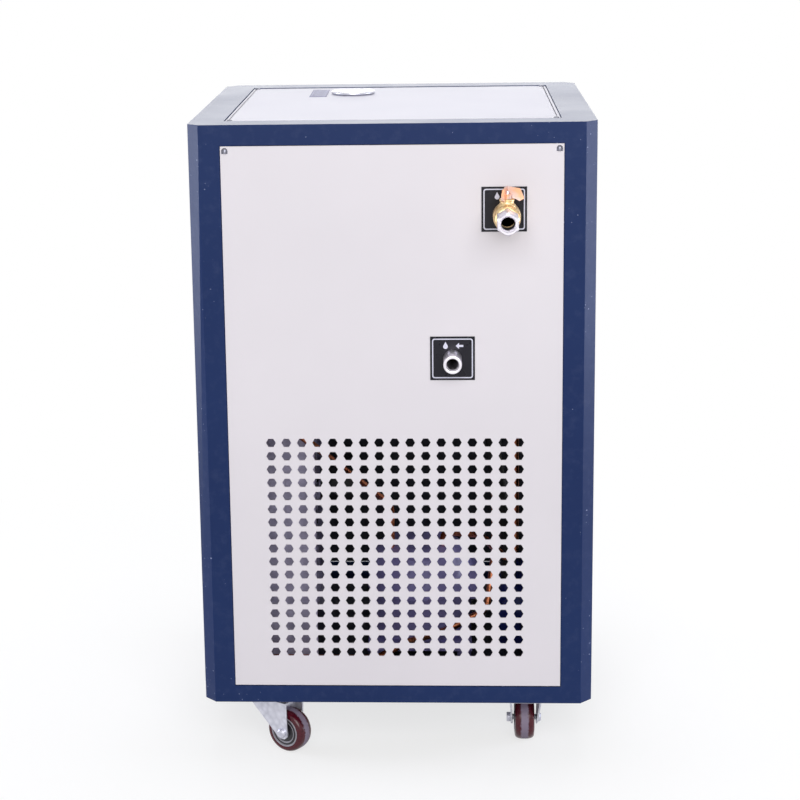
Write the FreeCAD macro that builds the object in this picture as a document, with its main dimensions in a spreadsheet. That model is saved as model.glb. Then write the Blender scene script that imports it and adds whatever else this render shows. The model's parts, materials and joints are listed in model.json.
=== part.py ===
import FreeCAD, Part
import math
import os
from types import SimpleNamespace

import Sketcher
from FreeCAD import Placement, Rotation, Vector

# Recirculating refrigerated water bath in a wheeled cabinet.
# Row frame: +Z up, origin on the floor under the middle of the bounding box.
# The service side, with the water outlet valve and the water inlet, faces -Y;
# the control side faces +Y.  Millimetres throughout.
# In the functions below "depth" is measured inwards from the service side and
# "height" upwards from the underside of the cabinet.

SIZES = {
    # cabinet shell
    "cab_width": 550,
    "cab_depth": 530,
    "cab_height": 825,
    "cab_lift": 90,
    "corner_cut": 16,
    "face_side": 44,
    "face_top": 28,
    "face_base": 25,
    "face_cover": 46,
    "frame_steel": 2,
    "lip_width": 14,
    "panel_steel": 1.5,
    "panel_set": 1,
    "panel_gap": 1,
    "tray_steel": 3,
    "tray_ledge": 28,
    "seat_gap": 0.3,
    "screw_drop": 7,
    "screw_radius": 1.9,
    "screw_head": 3.8,
    "screw_head_height": 2.2,
    "screw_length": 9,
    "hole_gap": 0.3,
    "bolt_side": 7.5,
    "bolt_head": 5,
    "bolt_nut": 6,
    # hexagonal grille of the service panel
    "grille_holes": 17,
    "grille_pitch_x": 21.4,
    "grille_pitch_z": 19.2,
    "grille_height": 229.8,
    "hex_side": 6.93,
    # louvres of the side panels
    "louvre_count": 14,
    "louvre_pitch": 21,
    "louvre_length": 260,
    "louvre_width": 7,
    "louvre_height": 120,
    # water outlet: bulkhead nipple, ball valve, steel end piece
    "outlet_x": 152.8,
    "outlet_drop": 120.9,
    "outlet_reach": 100,
    "label_side": 61,
    "label_thick": 1.2,
    "outlet_label_x": 150.3,
    "outlet_label_drop": 116.7,
    "thread_radius": 10.4,
    "water_bore": 7.5,
    "nut_side": 18,
    "nut_thick": 8,
    "valve_start": 6,
    "valve_length": 54,
    "valve_radius": 18.4,
    "valve_collar": 15.6,
    "valve_middle": 31,
    "ball_radius": 12,
    "stem_tail": 4,
    "boss_radius": 9.5,
    "boss_top": 24.5,
    "stem_radius": 4,
    "end_hex_side": 15.8,
    "end_hex_length": 26,
    "end_neck_radius": 12.6,
    "end_bore": 9.75,
    "end_bore_depth": 16,
    "end_room": 2,
    "handle_hub_radius": 7.5,
    "handle_hub_height": 6,
    "wing_reach": 22.5,
    "wing_height": 16.5,
    "wing_droop": 3,
    "wing_thick": 3,
    "wing_right": -10,
    "wing_left": -108,
    "ball_angle": -28,
    # water inlet
    "inlet_x": 80.3,
    "inlet_height": 503,
    "inlet_reach": 40,
    "inlet_radius": 12.45,
    "inlet_thread": 12,
    "inlet_tail": 10.4,
    "inlet_runout": 1,
    "inlet_bore": 7.7,
    "nipple_inside": 30,
    "inlet_nut_side": 20,
    # filling neck, cap and rating label on the top cover
    "cap_x": -68,
    "cap_depth": 390,
    "cap_radius": 33,
    "cap_height": 6,
    "cap_knob_radius": 7,
    "cap_knob_height": 5,
    "cap_plug_depth": 12,
    "neck_radius": 24,
    "neck_wall": 1.5,
    "neck_flange": 30,
    "neck_flange_thick": 1.2,
    "rating_x": -120,
    "rating_depth": 402,
    "rating_width": 26,
    "rating_length": 100,
    "rating_thick": 0.6,
    # control side
    "front_reach": 9,
    "controller_width": 170,
    "controller_height": 96,
    "controller_drop": 165,
    "controller_bezel": 7,
    "controller_depth": 45,
    "controller_step": 1.5,
    "switch_drop": 285,
    "switch_pitch": 60,
    "switch_width": 21,
    "switch_height": 29,
    "switch_rise": 4.5,
    "switch_clear": 1,
    "switch_pin": 1.5,
    "switch_pin_seat": 1,
    "switch_rim": 2.5,
    "switch_rim_thick": 2,
    "switch_wall": 1.5,
    "switch_well": 22,
    "switch_room": 10,
    "switch_dish": 1.6,
    "switch_heel": 3,
    "switch_heel_depth": 5,
    "switch_tilt": 7,
    # tank
    "shelf_height": 425,
    "shelf_steel": 2,
    "shelf_flange": 18,
    "tank_width": 300,
    "tank_length": 330,
    "tank_drop": 140,
    "tank_x": -50,
    "tank_depth": 290,
    "tank_wall": 1.5,
    "foam_thick": 20,
    "spigot_wall": 1,
    "drain_back": 130,
    "drain_rise": 20,
    "coil_tube": 5,
    "coil_margin": 40,
    "coil_spread": 90,
    "coil_foot": 30,
    "coil_head": 20,
    "coil_top_gap": 67.2,
    "coil_row": 34,
    "coil_runs": 7,
    # refrigeration
    "compressor_x": 30,
    "compressor_depth": 235,
    "compressor_radius": 78,
    "compressor_height": 150,
    "compressor_feet": 15,
    "compressor_foot_radius": 11,
    "compressor_seam": 5,
    "compressor_plate": 4,
    "terminal_width": 50,
    "terminal_reach": 14,
    "terminal_level": 60,
    "condenser_left": -262,
    "condenser_thick": 62,
    "condenser_depth": 66,
    "condenser_length": 320,
    "condenser_base": 112,
    "condenser_height": 300,
    "condenser_bends": 16,
    "condenser_rows": 6,
    "shroud_thick": 84,
    "shroud_steel": 1.2,
    "arm_width": 24,
    "arm_thick": 2.5,
    "arm_set": 0.5,
    "arm_hole": 9,
    "fan_radius": 130,
    "fan_hub": 26,
    "fan_gap": 6,
    "fan_set": 38,
    "fan_hub_length": 22,
    "fan_chord": 56,
    "fan_blades": 5,
    "fan_pitch": 62,
    "fan_blade_thick": 2,
    "motor_radius": 38,
    "motor_length": 50,
    "motor_shaft": 4,
    "line_radius": 5,
    # pump
    "pump_x": 190,
    "pump_depth": 150,
    "pump_level": 70,
    "pump_radius": 42,
    "pump_width": 40,
    "pump_motor_radius": 46,
    "pump_motor_length": 130,
    "pump_port_wall": 4,
    "pump_port_length": 16,
    "pump_foot_width": 80,
    "pump_foot_set": 20,
    "hose_radius": 11,
    "hose_bore": 7.5,
    # mains cable gland
    "gland_radius": 11,
    "gland_bore": 5,
    "gland_hex": 15,
    "gland_collar": 8,
    "gland_reach": 22,
    "gland_thread_end": 9,
    # castors
    "castor_x": 183,
    "castor_depth": 57,
    "castor_plate_x": 76,
    "castor_plate_y": 62,
    "castor_plate_thick": 3,
    "castor_bolt_x": 28,
    "castor_bolt_y": 21,
    "castor_bolt_radius": 4,
    "race_radius": 25,
    "race_height": 7,
    "kingpin_radius": 6,
    "kingpin_head": 3,
    "running_gap": 0.08,
    "trail": 30,
    "wheel_radius": 31.5,
    "wheel_width": 28,
    "tread_thick": 9,
    "tread_edge": 4,
    "core_proud": 1,
    "axle_radius": 4,
    "fork_width": 39,
    "fork_steel": 2.5,
    "fork_crown": 3.5,
    "fork_back": 26,
    "fork_nose": 9.5,
    "pedal_length": 34,
    "pedal_thick": 3,
    "pedal_pin_radius": 3,
    "pedal_pin_height": 41,
    "pedal_pin_ahead": 3,
    "shoe_gap": 0.5,
}

DOC = FreeCAD.newDocument("water_bath")
SHEET = DOC.addObject("Spreadsheet::Sheet", "Sizes")
PARTS = []

TURNS = {
    "x": Rotation(Vector(0, 1, 0), 90),
    "y": Rotation(Vector(1, 0, 0), -90),
    "-y": Rotation(Vector(1, 0, 0), 90),
    "z": Rotation(),
}


class Dim:
    """A size that carries both its value and the sheet expression behind it."""

    def __init__(self, value, text):
        self.value = value
        self.text = text

    def joined(self, other, sign, value):
        return Dim(value, "(%s %s %s)" % (self.text, sign, other.text))

    def __add__(self, other):
        other = dim(other)
        return self.joined(other, "+", self.value + other.value)

    def __sub__(self, other):
        other = dim(other)
        return self.joined(other, "-", self.value - other.value)

    def __mul__(self, other):
        other = dim(other)
        return self.joined(other, "*", self.value * other.value)

    def __truediv__(self, other):
        other = dim(other)
        return self.joined(other, "/", self.value / other.value)

    def __radd__(self, other):
        return dim(other) + self

    def __rsub__(self, other):
        return dim(other) - self

    def __rmul__(self, other):
        return dim(other) * self

    def __neg__(self):
        return dim(0) - self


def dim(size):
    """Plain numbers become Dims whose text is the number itself."""
    if isinstance(size, Dim):
        return size
    return Dim(float(size), "(%.6f)" % size)


def fill_sheet():
    """Write every size and its alias into the sheet, and name them for the code."""
    for row, (alias, number) in enumerate(SIZES.items(), 1):
        SHEET.set("A%d" % row, alias)
        SHEET.set("B%d" % row, str(number))
        SHEET.setAlias("B%d" % row, alias)
    DOC.recompute()
    named = {alias: Dim(float(number), "Sizes." + alias) for alias, number in SIZES.items()}
    return SimpleNamespace(**named)


S = fill_sheet()

# Places that several sub-parts share.
HALF_W = S.cab_width / 2
HALF_D = S.cab_depth / 2
REAR_Y = (S.outlet_reach - S.front_reach) / 2 - HALF_D
FRONT_Y = REAR_Y + S.cab_depth
BASE_Z = S.cab_lift
TOP_Z = BASE_Z + S.cab_height
PANEL_IN = S.panel_set + S.panel_steel
LIP_IN = PANEL_IN + S.frame_steel
LIP_END = S.face_side + S.lip_width
LIP_MIDDLE = S.face_side + S.lip_width / 2
OFFSET_SHARE = math.tan(math.radians(22.5))
OUTLET_UP = S.cab_height - S.outlet_drop
OUTLET_LABEL_UP = S.cab_height - S.outlet_label_drop
CONTROLLER_UP = S.cab_height - S.controller_drop
SWITCH_UP = S.cab_height - S.switch_drop


def depth(distance):
    """Row Y of a plane this far in from the service side."""
    return REAR_Y + distance


def height(distance):
    """Row Z of a plane this far above the underside of the cabinet."""
    return BASE_Z + distance


# ---------------------------------------------------------------- helpers


def bind(item, path, size):
    item.setExpression(path, dim(size).text)


def place(item, x, y, z, rotation=None):
    """Move an item to a bound position, turned by a fixed rotation."""
    item.Placement = Placement(Vector(), rotation or Rotation())
    for letter, size in zip("xyz", (x, y, z)):
        bind(item, "Placement.Base." + letter, size)
    return item


def named(item, label):
    """Mark an item as a finished sub-part."""
    item.Label = label
    PARTS.append(item)
    return item


def box(x, y, z):
    """A block given as a (low, high) pair along each axis."""
    block = DOC.addObject("Part::Box", "block")
    for side, (low, high) in zip(("Length", "Width", "Height"), (x, y, z)):
        bind(block, side, high - low)
    return place(block, x[0], y[0], z[0])


def around(middle, size):
    """The (low, high) pair of a size centred on a middle."""
    return (middle - size / 2, middle + size / 2)


def rod(axis, x, y, z, radius, length):
    """A cylinder that starts at a point and runs along an axis."""
    cylinder = DOC.addObject("Part::Cylinder", "rod")
    bind(cylinder, "Radius", radius)
    bind(cylinder, "Height", length)
    return place(cylinder, x, y, z, TURNS[axis])


def hexagon(axis, x, y, z, side, length):
    """A six-sided bar with a corner pointing up or along +Y."""
    prism = DOC.addObject("Part::Prism", "hexagon")
    prism.Polygon = 6
    bind(prism, "Circumradius", side)
    bind(prism, "Height", length)
    turn = TURNS[axis].multiply(Rotation(Vector(0, 0, 1), 90))
    return place(prism, x, y, z, turn)


def fuse(*items):
    joint = DOC.addObject("Part::MultiFuse", "fuse")
    joint.Shapes = list(items)
    return joint


def cut(base, *tools):
    """Base less every tool."""
    result = DOC.addObject("Part::Cut", "cut")
    result.Base = base
    result.Tool = tools[0] if len(tools) == 1 else fuse(*tools)
    return result


def group(*items):
    """Separate solids kept side by side in one sub-part."""
    together = DOC.addObject("Part::Compound", "group")
    together.Links = list(items)
    return together


def tube(axis, x, y, z, outer, inner, length):
    return cut(rod(axis, x, y, z, outer, length), rod(axis, x, y, z, inner, length))


def new_body(name):
    return DOC.addObject("PartDesign::Body", name)


def origin_plane(body, role):
    return next(item for item in body.Origin.OriginFeatures if item.Role == role)


def new_sketch(body, role, offset=0):
    """A sketch on one of the body's own planes, lifted along its normal."""
    sketch = body.newObject("Sketcher::SketchObject", "sketch")
    sketch.AttachmentSupport = (origin_plane(body, role), [""])
    sketch.MapMode = "FlatFace"
    bind(sketch, "AttachmentOffset.Base.z", offset)
    return sketch


def hold(sketch, geometry, point, place_pair):
    """Tie one point of a sketch to bound coordinates."""
    for kind, size in zip(("DistanceX", "DistanceY"), place_pair):
        size = dim(size)
        index = sketch.addConstraint(Sketcher.Constraint(kind, -1, 1, geometry, point, size.value))
        sketch.setExpression("Constraints[%d]" % index, size.text)


def draw_outline(sketch, points):
    """A closed polygon whose every corner is tied to the sheet."""
    points = [(dim(a), dim(b)) for a, b in points]
    first = sketch.GeometryCount
    for index, (a, b) in enumerate(points):
        c, d = points[(index + 1) % len(points)]
        line = Part.LineSegment(Vector(a.value, b.value, 0), Vector(c.value, d.value, 0))
        sketch.addGeometry(line, False)
    for index, corner in enumerate(points):
        following = first + (index + 1) % len(points)
        sketch.addConstraint(Sketcher.Constraint("Coincident", first + index, 2, following, 1))
        hold(sketch, first + index, 1, corner)


def draw_circle(sketch, x, y, radius):
    x, y, radius = dim(x), dim(y), dim(radius)
    circle = Part.Circle(Vector(x.value, y.value, 0), Vector(0, 0, 1), radius.value)
    index = sketch.addGeometry(circle, False)
    hold(sketch, index, 3, (x, y))
    constraint = sketch.addConstraint(Sketcher.Constraint("Radius", index, radius.value))
    sketch.setExpression("Constraints[%d]" % constraint, radius.text)


def add_pad(body, sketch, length, middle=False):
    pad = body.newObject("PartDesign::Pad", "pad")
    pad.Profile = sketch
    pad.Midplane = middle
    bind(pad, "Length", length)
    return pad


def add_pocket(body, sketch, length=None, reverse=False):
    """A pocket of a given length, or right through both ways."""
    pocket = body.newObject("PartDesign::Pocket", "pocket")
    pocket.Profile = sketch
    if length is None:
        pocket.Type = "ThroughAll"
        pocket.Midplane = True
    else:
        pocket.Reversed = reverse
        bind(pocket, "Length", length)
    return pocket


def rectangle(x, y):
    return [(x[0], y[0]), (x[1], y[0]), (x[1], y[1]), (x[0], y[1])]


def octagon(half_x, half_y, corner):
    """A rectangle about the origin with its corners cut at 45 degrees."""
    a, b = half_x - corner, half_y - corner
    right = [(half_x, -b), (half_x, b), (a, half_y), (-a, half_y)]
    left = [(-half_x, b), (-half_x, -b), (-a, -half_y), (a, -half_y)]
    return right + left


def inset(distance):
    """The cabinet's plan outline moved in by a distance."""
    corner = S.corner_cut - distance * (1 - OFFSET_SHARE)
    return octagon(HALF_W - distance, HALF_D - distance, corner)


def margin(distance):
    """A plain rectangle this far inside the cabinet's plan."""
    return rectangle((distance - HALF_W, HALF_W - distance), (distance - HALF_D, HALF_D - distance))


def turned(label, axis, at, outline):
    """A revolved body from (radius, length) corners, its axis laid along one direction."""
    body = new_body(label)
    sketch = new_sketch(body, "XZ_Plane")
    draw_outline(sketch, outline)
    spin = body.newObject("PartDesign::Revolution", "revolution")
    spin.Profile = sketch
    spin.ReferenceAxis = (sketch, ["V_Axis"])
    spin.Angle = 360
    return place(body, at[0], at[1], at[2], TURNS[axis])


def sweep(points, radius, bore=None):
    """A round tube along straight runs joined by tangent arcs."""
    at = [Vector(*(dim(size).value for size in point)) for point in points]
    radius = dim(radius).value
    edges = []
    start = at[0]
    for before, corner, after in zip(at, at[1:], at[2:]):
        back, ahead = before - corner, after - corner
        turn = math.pi - back.getAngle(ahead)
        reach = min(0.45 * min(back.Length, ahead.Length), 5 * radius * math.tan(turn / 2))
        back.normalize()
        ahead.normalize()
        enter, leave = corner + back * reach, corner + ahead * reach
        sagitta = reach * math.tan(turn / 4) * math.cos(turn / 2)
        middle = (enter + leave) * 0.5
        inner = (back + ahead).normalize()
        apex = middle - inner * sagitta
        edges.append(Part.LineSegment(start, enter).toShape())
        edges.append(Part.Arc(enter, apex, leave).toShape())
        start = leave
    edges.append(Part.LineSegment(start, at[-1]).toShape())
    path = Part.Wire(edges)
    heading = at[1] - at[0]

    def solid(size):
        ring = Part.Wire(Part.Circle(at[0], heading, size).toShape())
        return path.makePipeShell([ring], True, True)

    tube_shape = solid(radius)
    return tube_shape.cut(solid(dim(bore).value)) if bore else tube_shape


def shaped(label, shapes):
    """A sub-part whose shape is worked out here from the sheet's values."""
    feature = DOC.addObject("Part::Feature", label)
    feature.Shape = Part.makeCompound(shapes)
    feature.Placement = Placement()
    return named(feature, label)


# ---------------------------------------------------------------- cabinet


def corner_post(label, x, y, degrees):
    """Folded corner post: 45 degree outer corner and a set-back lip for each panel."""
    f, c, t = S.face_side, S.corner_cut, S.frame_steel
    fold = c + t * OFFSET_SHARE
    half = [(f, 0), (c, 0)]
    other = [(0, c), (0, f), (PANEL_IN, f), (PANEL_IN, LIP_END), (LIP_IN, LIP_END), (LIP_IN, f - t)]
    inner = [(t, f - t), (t, fold), (fold, t), (f - t, t), (f - t, LIP_IN)]
    tail = [(LIP_END, LIP_IN), (LIP_END, PANEL_IN), (f, PANEL_IN)]
    body = new_body(label)
    sketch = new_sketch(body, "XY_Plane")
    draw_outline(sketch, half + other + inner + tail)
    length = S.cab_height - S.face_top - S.face_base
    add_pad(body, sketch, length)
    for role in ("XZ_Plane", "YZ_Plane"):
        hole = new_sketch(body, role)
        draw_circle(hole, LIP_MIDDLE, length - S.screw_drop, S.screw_radius + S.hole_gap)
        add_pocket(body, hole)
    place(body, x, y, height(S.face_base), Rotation(Vector(0, 0, 1), degrees))
    named(body, label)


def top_frame():
    """Folded top rim with a set-back lip that carries the cover."""
    body = new_body("top_frame")
    top = S.face_top
    outer = new_sketch(body, "XY_Plane")
    draw_outline(outer, octagon(HALF_W, HALF_D, S.corner_cut))
    add_pad(body, outer, top)
    under = new_sketch(body, "XY_Plane")
    draw_outline(under, inset(S.frame_steel))
    add_pocket(body, under, top - S.frame_steel, reverse=True)
    lip = new_sketch(body, "XY_Plane", top - LIP_IN)
    draw_outline(lip, margin(S.face_cover - S.frame_steel))
    add_pad(body, lip, LIP_IN)
    seat = new_sketch(body, "XY_Plane", top)
    draw_outline(seat, margin(S.face_cover))
    add_pocket(body, seat, PANEL_IN)
    window = new_sketch(body, "XY_Plane")
    draw_outline(window, margin(S.face_cover + S.lip_width))
    add_pocket(body, window)
    holes = new_sketch(body, "XY_Plane")
    for x, y in cover_screw_places():
        draw_circle(holes, x, y, S.screw_radius + S.hole_gap)
    add_pocket(body, holes)
    place(body, 0, depth(HALF_D), height(S.cab_height - top))
    named(body, "top_frame")


def cover_screw_places():
    """The four corner screws of the cover, about the middle of the cabinet."""
    inward = S.face_cover + S.lip_width / 2
    return [(sx * (HALF_W - inward), sy * (HALF_D - inward)) for sx in (-1, 1) for sy in (-1, 1)]


def base_frame():
    """Folded base rim with a ledge above the tray."""
    body = new_body("base_frame")
    outer = new_sketch(body, "XY_Plane")
    draw_outline(outer, octagon(HALF_W, HALF_D, S.corner_cut))
    add_pad(body, outer, S.face_base)
    tray_room = new_sketch(body, "XY_Plane")
    draw_outline(tray_room, inset(S.frame_steel))
    add_pocket(body, tray_room, S.tray_steel, reverse=True)
    inside = new_sketch(body, "XY_Plane", S.face_base)
    draw_outline(inside, inset(S.frame_steel))
    add_pocket(body, inside, S.face_base - S.tray_steel - S.frame_steel)
    window = new_sketch(body, "XY_Plane")
    draw_outline(window, margin(S.tray_ledge))
    add_pocket(body, window)
    place(body, 0, depth(HALF_D), BASE_Z)
    named(body, "base_frame")


def castor_places():
    """Swivel centres as (name, x, depth, heading in degrees, braked)."""
    far = S.cab_depth - S.castor_depth
    return [
        ("rear_left", -S.castor_x, S.castor_depth, -32, False),
        ("rear_right", S.castor_x, S.castor_depth, 90, False),
        ("front_left", -S.castor_x, far, 215, True),
        ("front_right", S.castor_x, far, -40, True),
    ]


def castor_bolt_places():
    spots = []
    for _, x, inward, _, _ in castor_places():
        for sx in (-1, 1):
            for sy in (-1, 1):
                spots.append((x + sx * S.castor_bolt_x, inward + sy * S.castor_bolt_y))
    return spots


def base_tray():
    """Floor plate inside the base rim, drilled for the castor bolts."""
    body = new_body("base_tray")
    outer = new_sketch(body, "XY_Plane")
    draw_outline(outer, inset(S.frame_steel + S.seat_gap))
    add_pad(body, outer, S.tray_steel)
    holes = new_sketch(body, "XY_Plane")
    for x, inward in castor_bolt_places():
        draw_circle(holes, x, inward - HALF_D, S.castor_bolt_radius + S.hole_gap)
    draw_circle(holes, 0, gland_place() - HALF_D, S.gland_radius + S.hole_gap)
    add_pocket(body, holes)
    place(body, 0, depth(HALF_D), BASE_Z)
    named(body, "base_tray")


def gland_place():
    """Depth of the mains gland in the base tray."""
    return S.cab_depth - 2 * S.castor_depth


def blank_panel(label, width):
    """A flat panel standing on its local origin, outer face towards local -Y."""
    body = new_body(label)
    tall = S.cab_height - S.face_top - S.face_base - 2 * S.panel_gap
    outer = new_sketch(body, "XZ_Plane")
    draw_outline(outer, rectangle((-width / 2, width / 2), (0, tall)))
    add_pad(body, outer, S.panel_steel)
    holes = new_sketch(body, "XZ_Plane")
    reach = width / 2 + S.panel_gap - S.lip_width / 2
    for side in (-1, 1):
        draw_circle(holes, side * reach, tall + S.panel_gap - S.screw_drop, S.screw_radius + S.hole_gap)
    add_pocket(body, holes)
    return body


def panel_level(distance):
    """Local height on a panel of a level above the cabinet's underside."""
    return distance - S.face_base - S.panel_gap


def wide_panel():
    return S.cab_width - 2 * (S.face_side + S.panel_gap)


def deep_panel():
    return S.cab_depth - 2 * (S.face_side + S.panel_gap)


def fit_panel(body, label, x, y, degrees):
    place(body, x, y, height(S.face_base + S.panel_gap), Rotation(Vector(0, 0, 1), degrees))
    named(body, label)


def rear_panel():
    """Service panel: two port holes and the square grid of hexagonal vents."""
    body = blank_panel("rear_panel", wide_panel())
    ports = new_sketch(body, "XZ_Plane")
    draw_circle(ports, S.outlet_x, panel_level(OUTLET_UP), S.thread_radius + S.hole_gap)
    draw_circle(ports, S.inlet_x, panel_level(S.inlet_height), S.inlet_thread + S.hole_gap)
    add_pocket(body, ports)
    vent = new_sketch(body, "XZ_Plane")
    span_x = S.grille_pitch_x * (S.grille_holes - 1)
    span_z = S.grille_pitch_z * (S.grille_holes - 1)
    middle_z = panel_level(S.grille_height) - span_z / 2
    rise = math.sqrt(3) / 2
    ring = [(1, 0), (0.5, rise), (-0.5, rise), (-1, 0), (-0.5, -rise), (0.5, -rise)]
    draw_outline(vent, [(S.hex_side * a - span_x / 2, S.hex_side * b + middle_z) for a, b in ring])
    pocket = add_pocket(body, vent)
    pocket.Refine = False
    repeat_holes(body, pocket, (span_x, "H_Axis"), (span_z, "V_Axis"))
    fit_panel(body, "rear_panel", 0, depth(PANEL_IN), 0)


def repeat_holes(body, pocket, across, up):
    """A grid of one pocket in the two directions of its own sketch."""
    grid = body.newObject("PartDesign::LinearPattern", "grid")
    grid.Refine = False
    grid.Originals = [pocket]
    sketch = pocket.Profile[0]
    grid.Direction = (sketch, [across[1]])
    grid.Direction2 = (sketch, [up[1]])
    bind(grid, "Length", across[0])
    bind(grid, "Length2", up[0])
    bind(grid, "Occurrences", S.grille_holes)
    bind(grid, "Occurrences2", S.grille_holes)
    body.Tip = grid


def side_panel(label, x, degrees):
    """Side panel with a column of long vent slots for the condenser air."""
    body = blank_panel(label, deep_panel())
    slot = new_sketch(body, "XZ_Plane")
    low = panel_level(S.louvre_height)
    draw_outline(slot, rectangle(around(dim(0), S.louvre_length), (low, low + S.louvre_width)))
    pocket = add_pocket(body, slot)
    column = body.newObject("PartDesign::LinearPattern", "column")
    column.Originals = [pocket]
    column.Direction = (slot, ["V_Axis"])
    bind(column, "Length", S.louvre_pitch * (S.louvre_count - 1))
    bind(column, "Occurrences", S.louvre_count)
    body.Tip = column
    fit_panel(body, label, x, depth(HALF_D), degrees)


def switch_places():
    """Middle X of each rocker switch, from the control side's left."""
    return [("power_switch", S.switch_pitch), ("cooling_switch", dim(0)), ("pump_switch", -S.switch_pitch)]


def front_panel():
    """Control panel with the cut-outs of the controller and three switches."""
    body = blank_panel("front_panel", wide_panel())
    cutouts = new_sketch(body, "XZ_Plane")
    width = S.controller_width - 2 * S.controller_bezel
    tall = S.controller_height - 2 * S.controller_bezel
    level = panel_level(CONTROLLER_UP)
    slack = 2 * S.hole_gap
    draw_outline(cutouts, rectangle(around(dim(0), width + slack), around(level, tall + slack)))
    level = panel_level(SWITCH_UP)
    for _, x in switch_places():
        across = around(-x, S.switch_width + slack)
        draw_outline(cutouts, rectangle(across, around(level, S.switch_height + slack)))
    add_pocket(body, cutouts)
    fit_panel(body, "front_panel", 0, FRONT_Y - PANEL_IN, 180)


def top_cover():
    """Removable top cover with the filling hole."""
    body = new_body("top_cover")
    outer = new_sketch(body, "XY_Plane")
    draw_outline(outer, margin(S.face_cover + S.panel_gap))
    add_pad(body, outer, S.panel_steel)
    holes = new_sketch(body, "XY_Plane")
    draw_circle(holes, S.cap_x, S.cap_depth - HALF_D, S.neck_radius + S.hole_gap)
    for x, y in cover_screw_places():
        draw_circle(holes, x, y, S.screw_radius + S.hole_gap)
    add_pocket(body, holes)
    place(body, 0, depth(HALF_D), cover_top() - S.panel_steel)
    named(body, "top_cover")


def cover_top():
    return TOP_Z - S.panel_set


def screw(axis, x, y, z, sign):
    """Pan-head screw; its head seats at the point and its shank runs the other way."""
    head_start = {"x": 0, "y": 0, "z": 0}
    head_start[axis] = S.screw_head_height * (sign < 0) * -1
    shank_start = {"x": 0, "y": 0, "z": 0}
    shank_start[axis] = S.screw_length * (sign > 0) * -1
    head = rod(axis, x + head_start["x"], y + head_start["y"], z + head_start["z"],
               S.screw_head, S.screw_head_height)
    shank = rod(axis, x + shank_start["x"], y + shank_start["y"], z + shank_start["z"],
                S.screw_radius, S.screw_length)
    return fuse(head, shank)


def panel_screws():
    """Two screws at the top of every panel and one at each corner of the cover."""
    items = []
    level = height(S.cab_height - S.face_top - S.screw_drop)
    side_x = HALF_W - LIP_MIDDLE
    for side in (-1, 1):
        items.append(screw("y", side * side_x, depth(S.panel_set), level, -1))
        items.append(screw("y", side * side_x, FRONT_Y - S.panel_set, level, 1))
        end_y = depth(HALF_D) + side * (HALF_D - LIP_MIDDLE)
        items.append(screw("x", S.panel_set - HALF_W, end_y, level, -1))
        items.append(screw("x", HALF_W - S.panel_set, end_y, level, 1))
    for x, y in cover_screw_places():
        items.append(screw("z", x, y + depth(HALF_D), cover_top(), 1))
    named(group(*items), "panel_screws")


# ---------------------------------------------------------------- water ports


def outlet_axis():
    return S.outlet_x, height(OUTLET_UP)


def inlet_axis():
    return S.inlet_x, height(S.inlet_height)


def port_label(label, middle_x, level, bore_x, bore_level, bore):
    """Thin square label plate around a port."""
    thick = (depth(S.panel_set) - S.label_thick, depth(S.panel_set))
    plate = box(around(middle_x, S.label_side), thick, around(height(level), S.label_side))
    hole = rod("y", bore_x, thick[0], height(bore_level), bore + S.hole_gap, S.label_thick)
    named(cut(plate, hole), label)


def port_labels():
    port_label("outlet_plate", S.outlet_label_x, OUTLET_LABEL_UP, S.outlet_x,
               OUTLET_UP, S.thread_radius)
    port_label("inlet_plate", S.inlet_x, S.inlet_height, S.inlet_x, S.inlet_height, S.inlet_thread)


def bulkhead_nipple():
    """Threaded brass tube that carries the valve through the panel."""
    x, z = outlet_axis()
    start = depth(-S.valve_start - S.nut_thick)
    length = S.valve_start + S.nut_thick + S.nipple_inside
    named(tube("y", x, start, z, S.thread_radius, S.water_bore, length), "bulkhead_nipple")


def valve_body():
    """Ball valve body: hexagon end, round chamber, collar and stem boss."""
    x, z = outlet_axis()
    start, middle = depth(-S.valve_start), depth(-S.valve_middle - S.valve_start)
    front = depth(-S.valve_start - S.valve_length)
    r, c, b = S.valve_radius, S.valve_collar, S.ball_radius
    length = S.valve_length
    profile = [(0, 0), (c, 0), (c, length * 0.25), (r, length * 0.36), (r, length * 0.72)]
    profile += [(c + 1, length * 0.8), (c + 1, length), (0, length)]
    shell = turned("valve_shell", "-y", (x, start, z), profile)
    boss = rod("z", x, middle, z, S.boss_radius, S.boss_top)
    room = DOC.addObject("Part::Sphere", "ball_room")
    bind(room, "Radius", b + S.seat_gap)
    place(room, x, middle, z)
    way = rod("y", x, front, z, S.water_bore, length)
    rear_thread = rod("y", x, start - S.nut_thick, z, S.thread_radius, S.nut_thick)
    end_thread = rod("y", x, front, z, S.end_bore, S.nut_thick + S.end_room)
    stem_hole = rod("z", x, middle, z, S.stem_radius + S.running_gap, S.boss_top + 1)
    named(cut(fuse(shell, boss), room, way, rear_thread, end_thread, stem_hole), "valve_body")


def valve_stem():
    """Ball with its bore and stem in one piece."""
    x, z = outlet_axis()
    middle = depth(-S.valve_middle - S.valve_start)
    ball = DOC.addObject("Part::Sphere", "ball")
    bind(ball, "Radius", S.ball_radius)
    stem = rod("z", 0, 0, 0, S.stem_radius, S.boss_top + S.handle_hub_height + S.stem_tail)
    way = rod("x", -2 * S.ball_radius, 0, 0, S.water_bore, 4 * S.ball_radius)
    item = group(cut(fuse(ball, stem), way))
    place(item, x, middle, z, Rotation(Vector(0, 0, 1), SIZES["ball_angle"]))
    named(item, "valve_stem")


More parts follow.
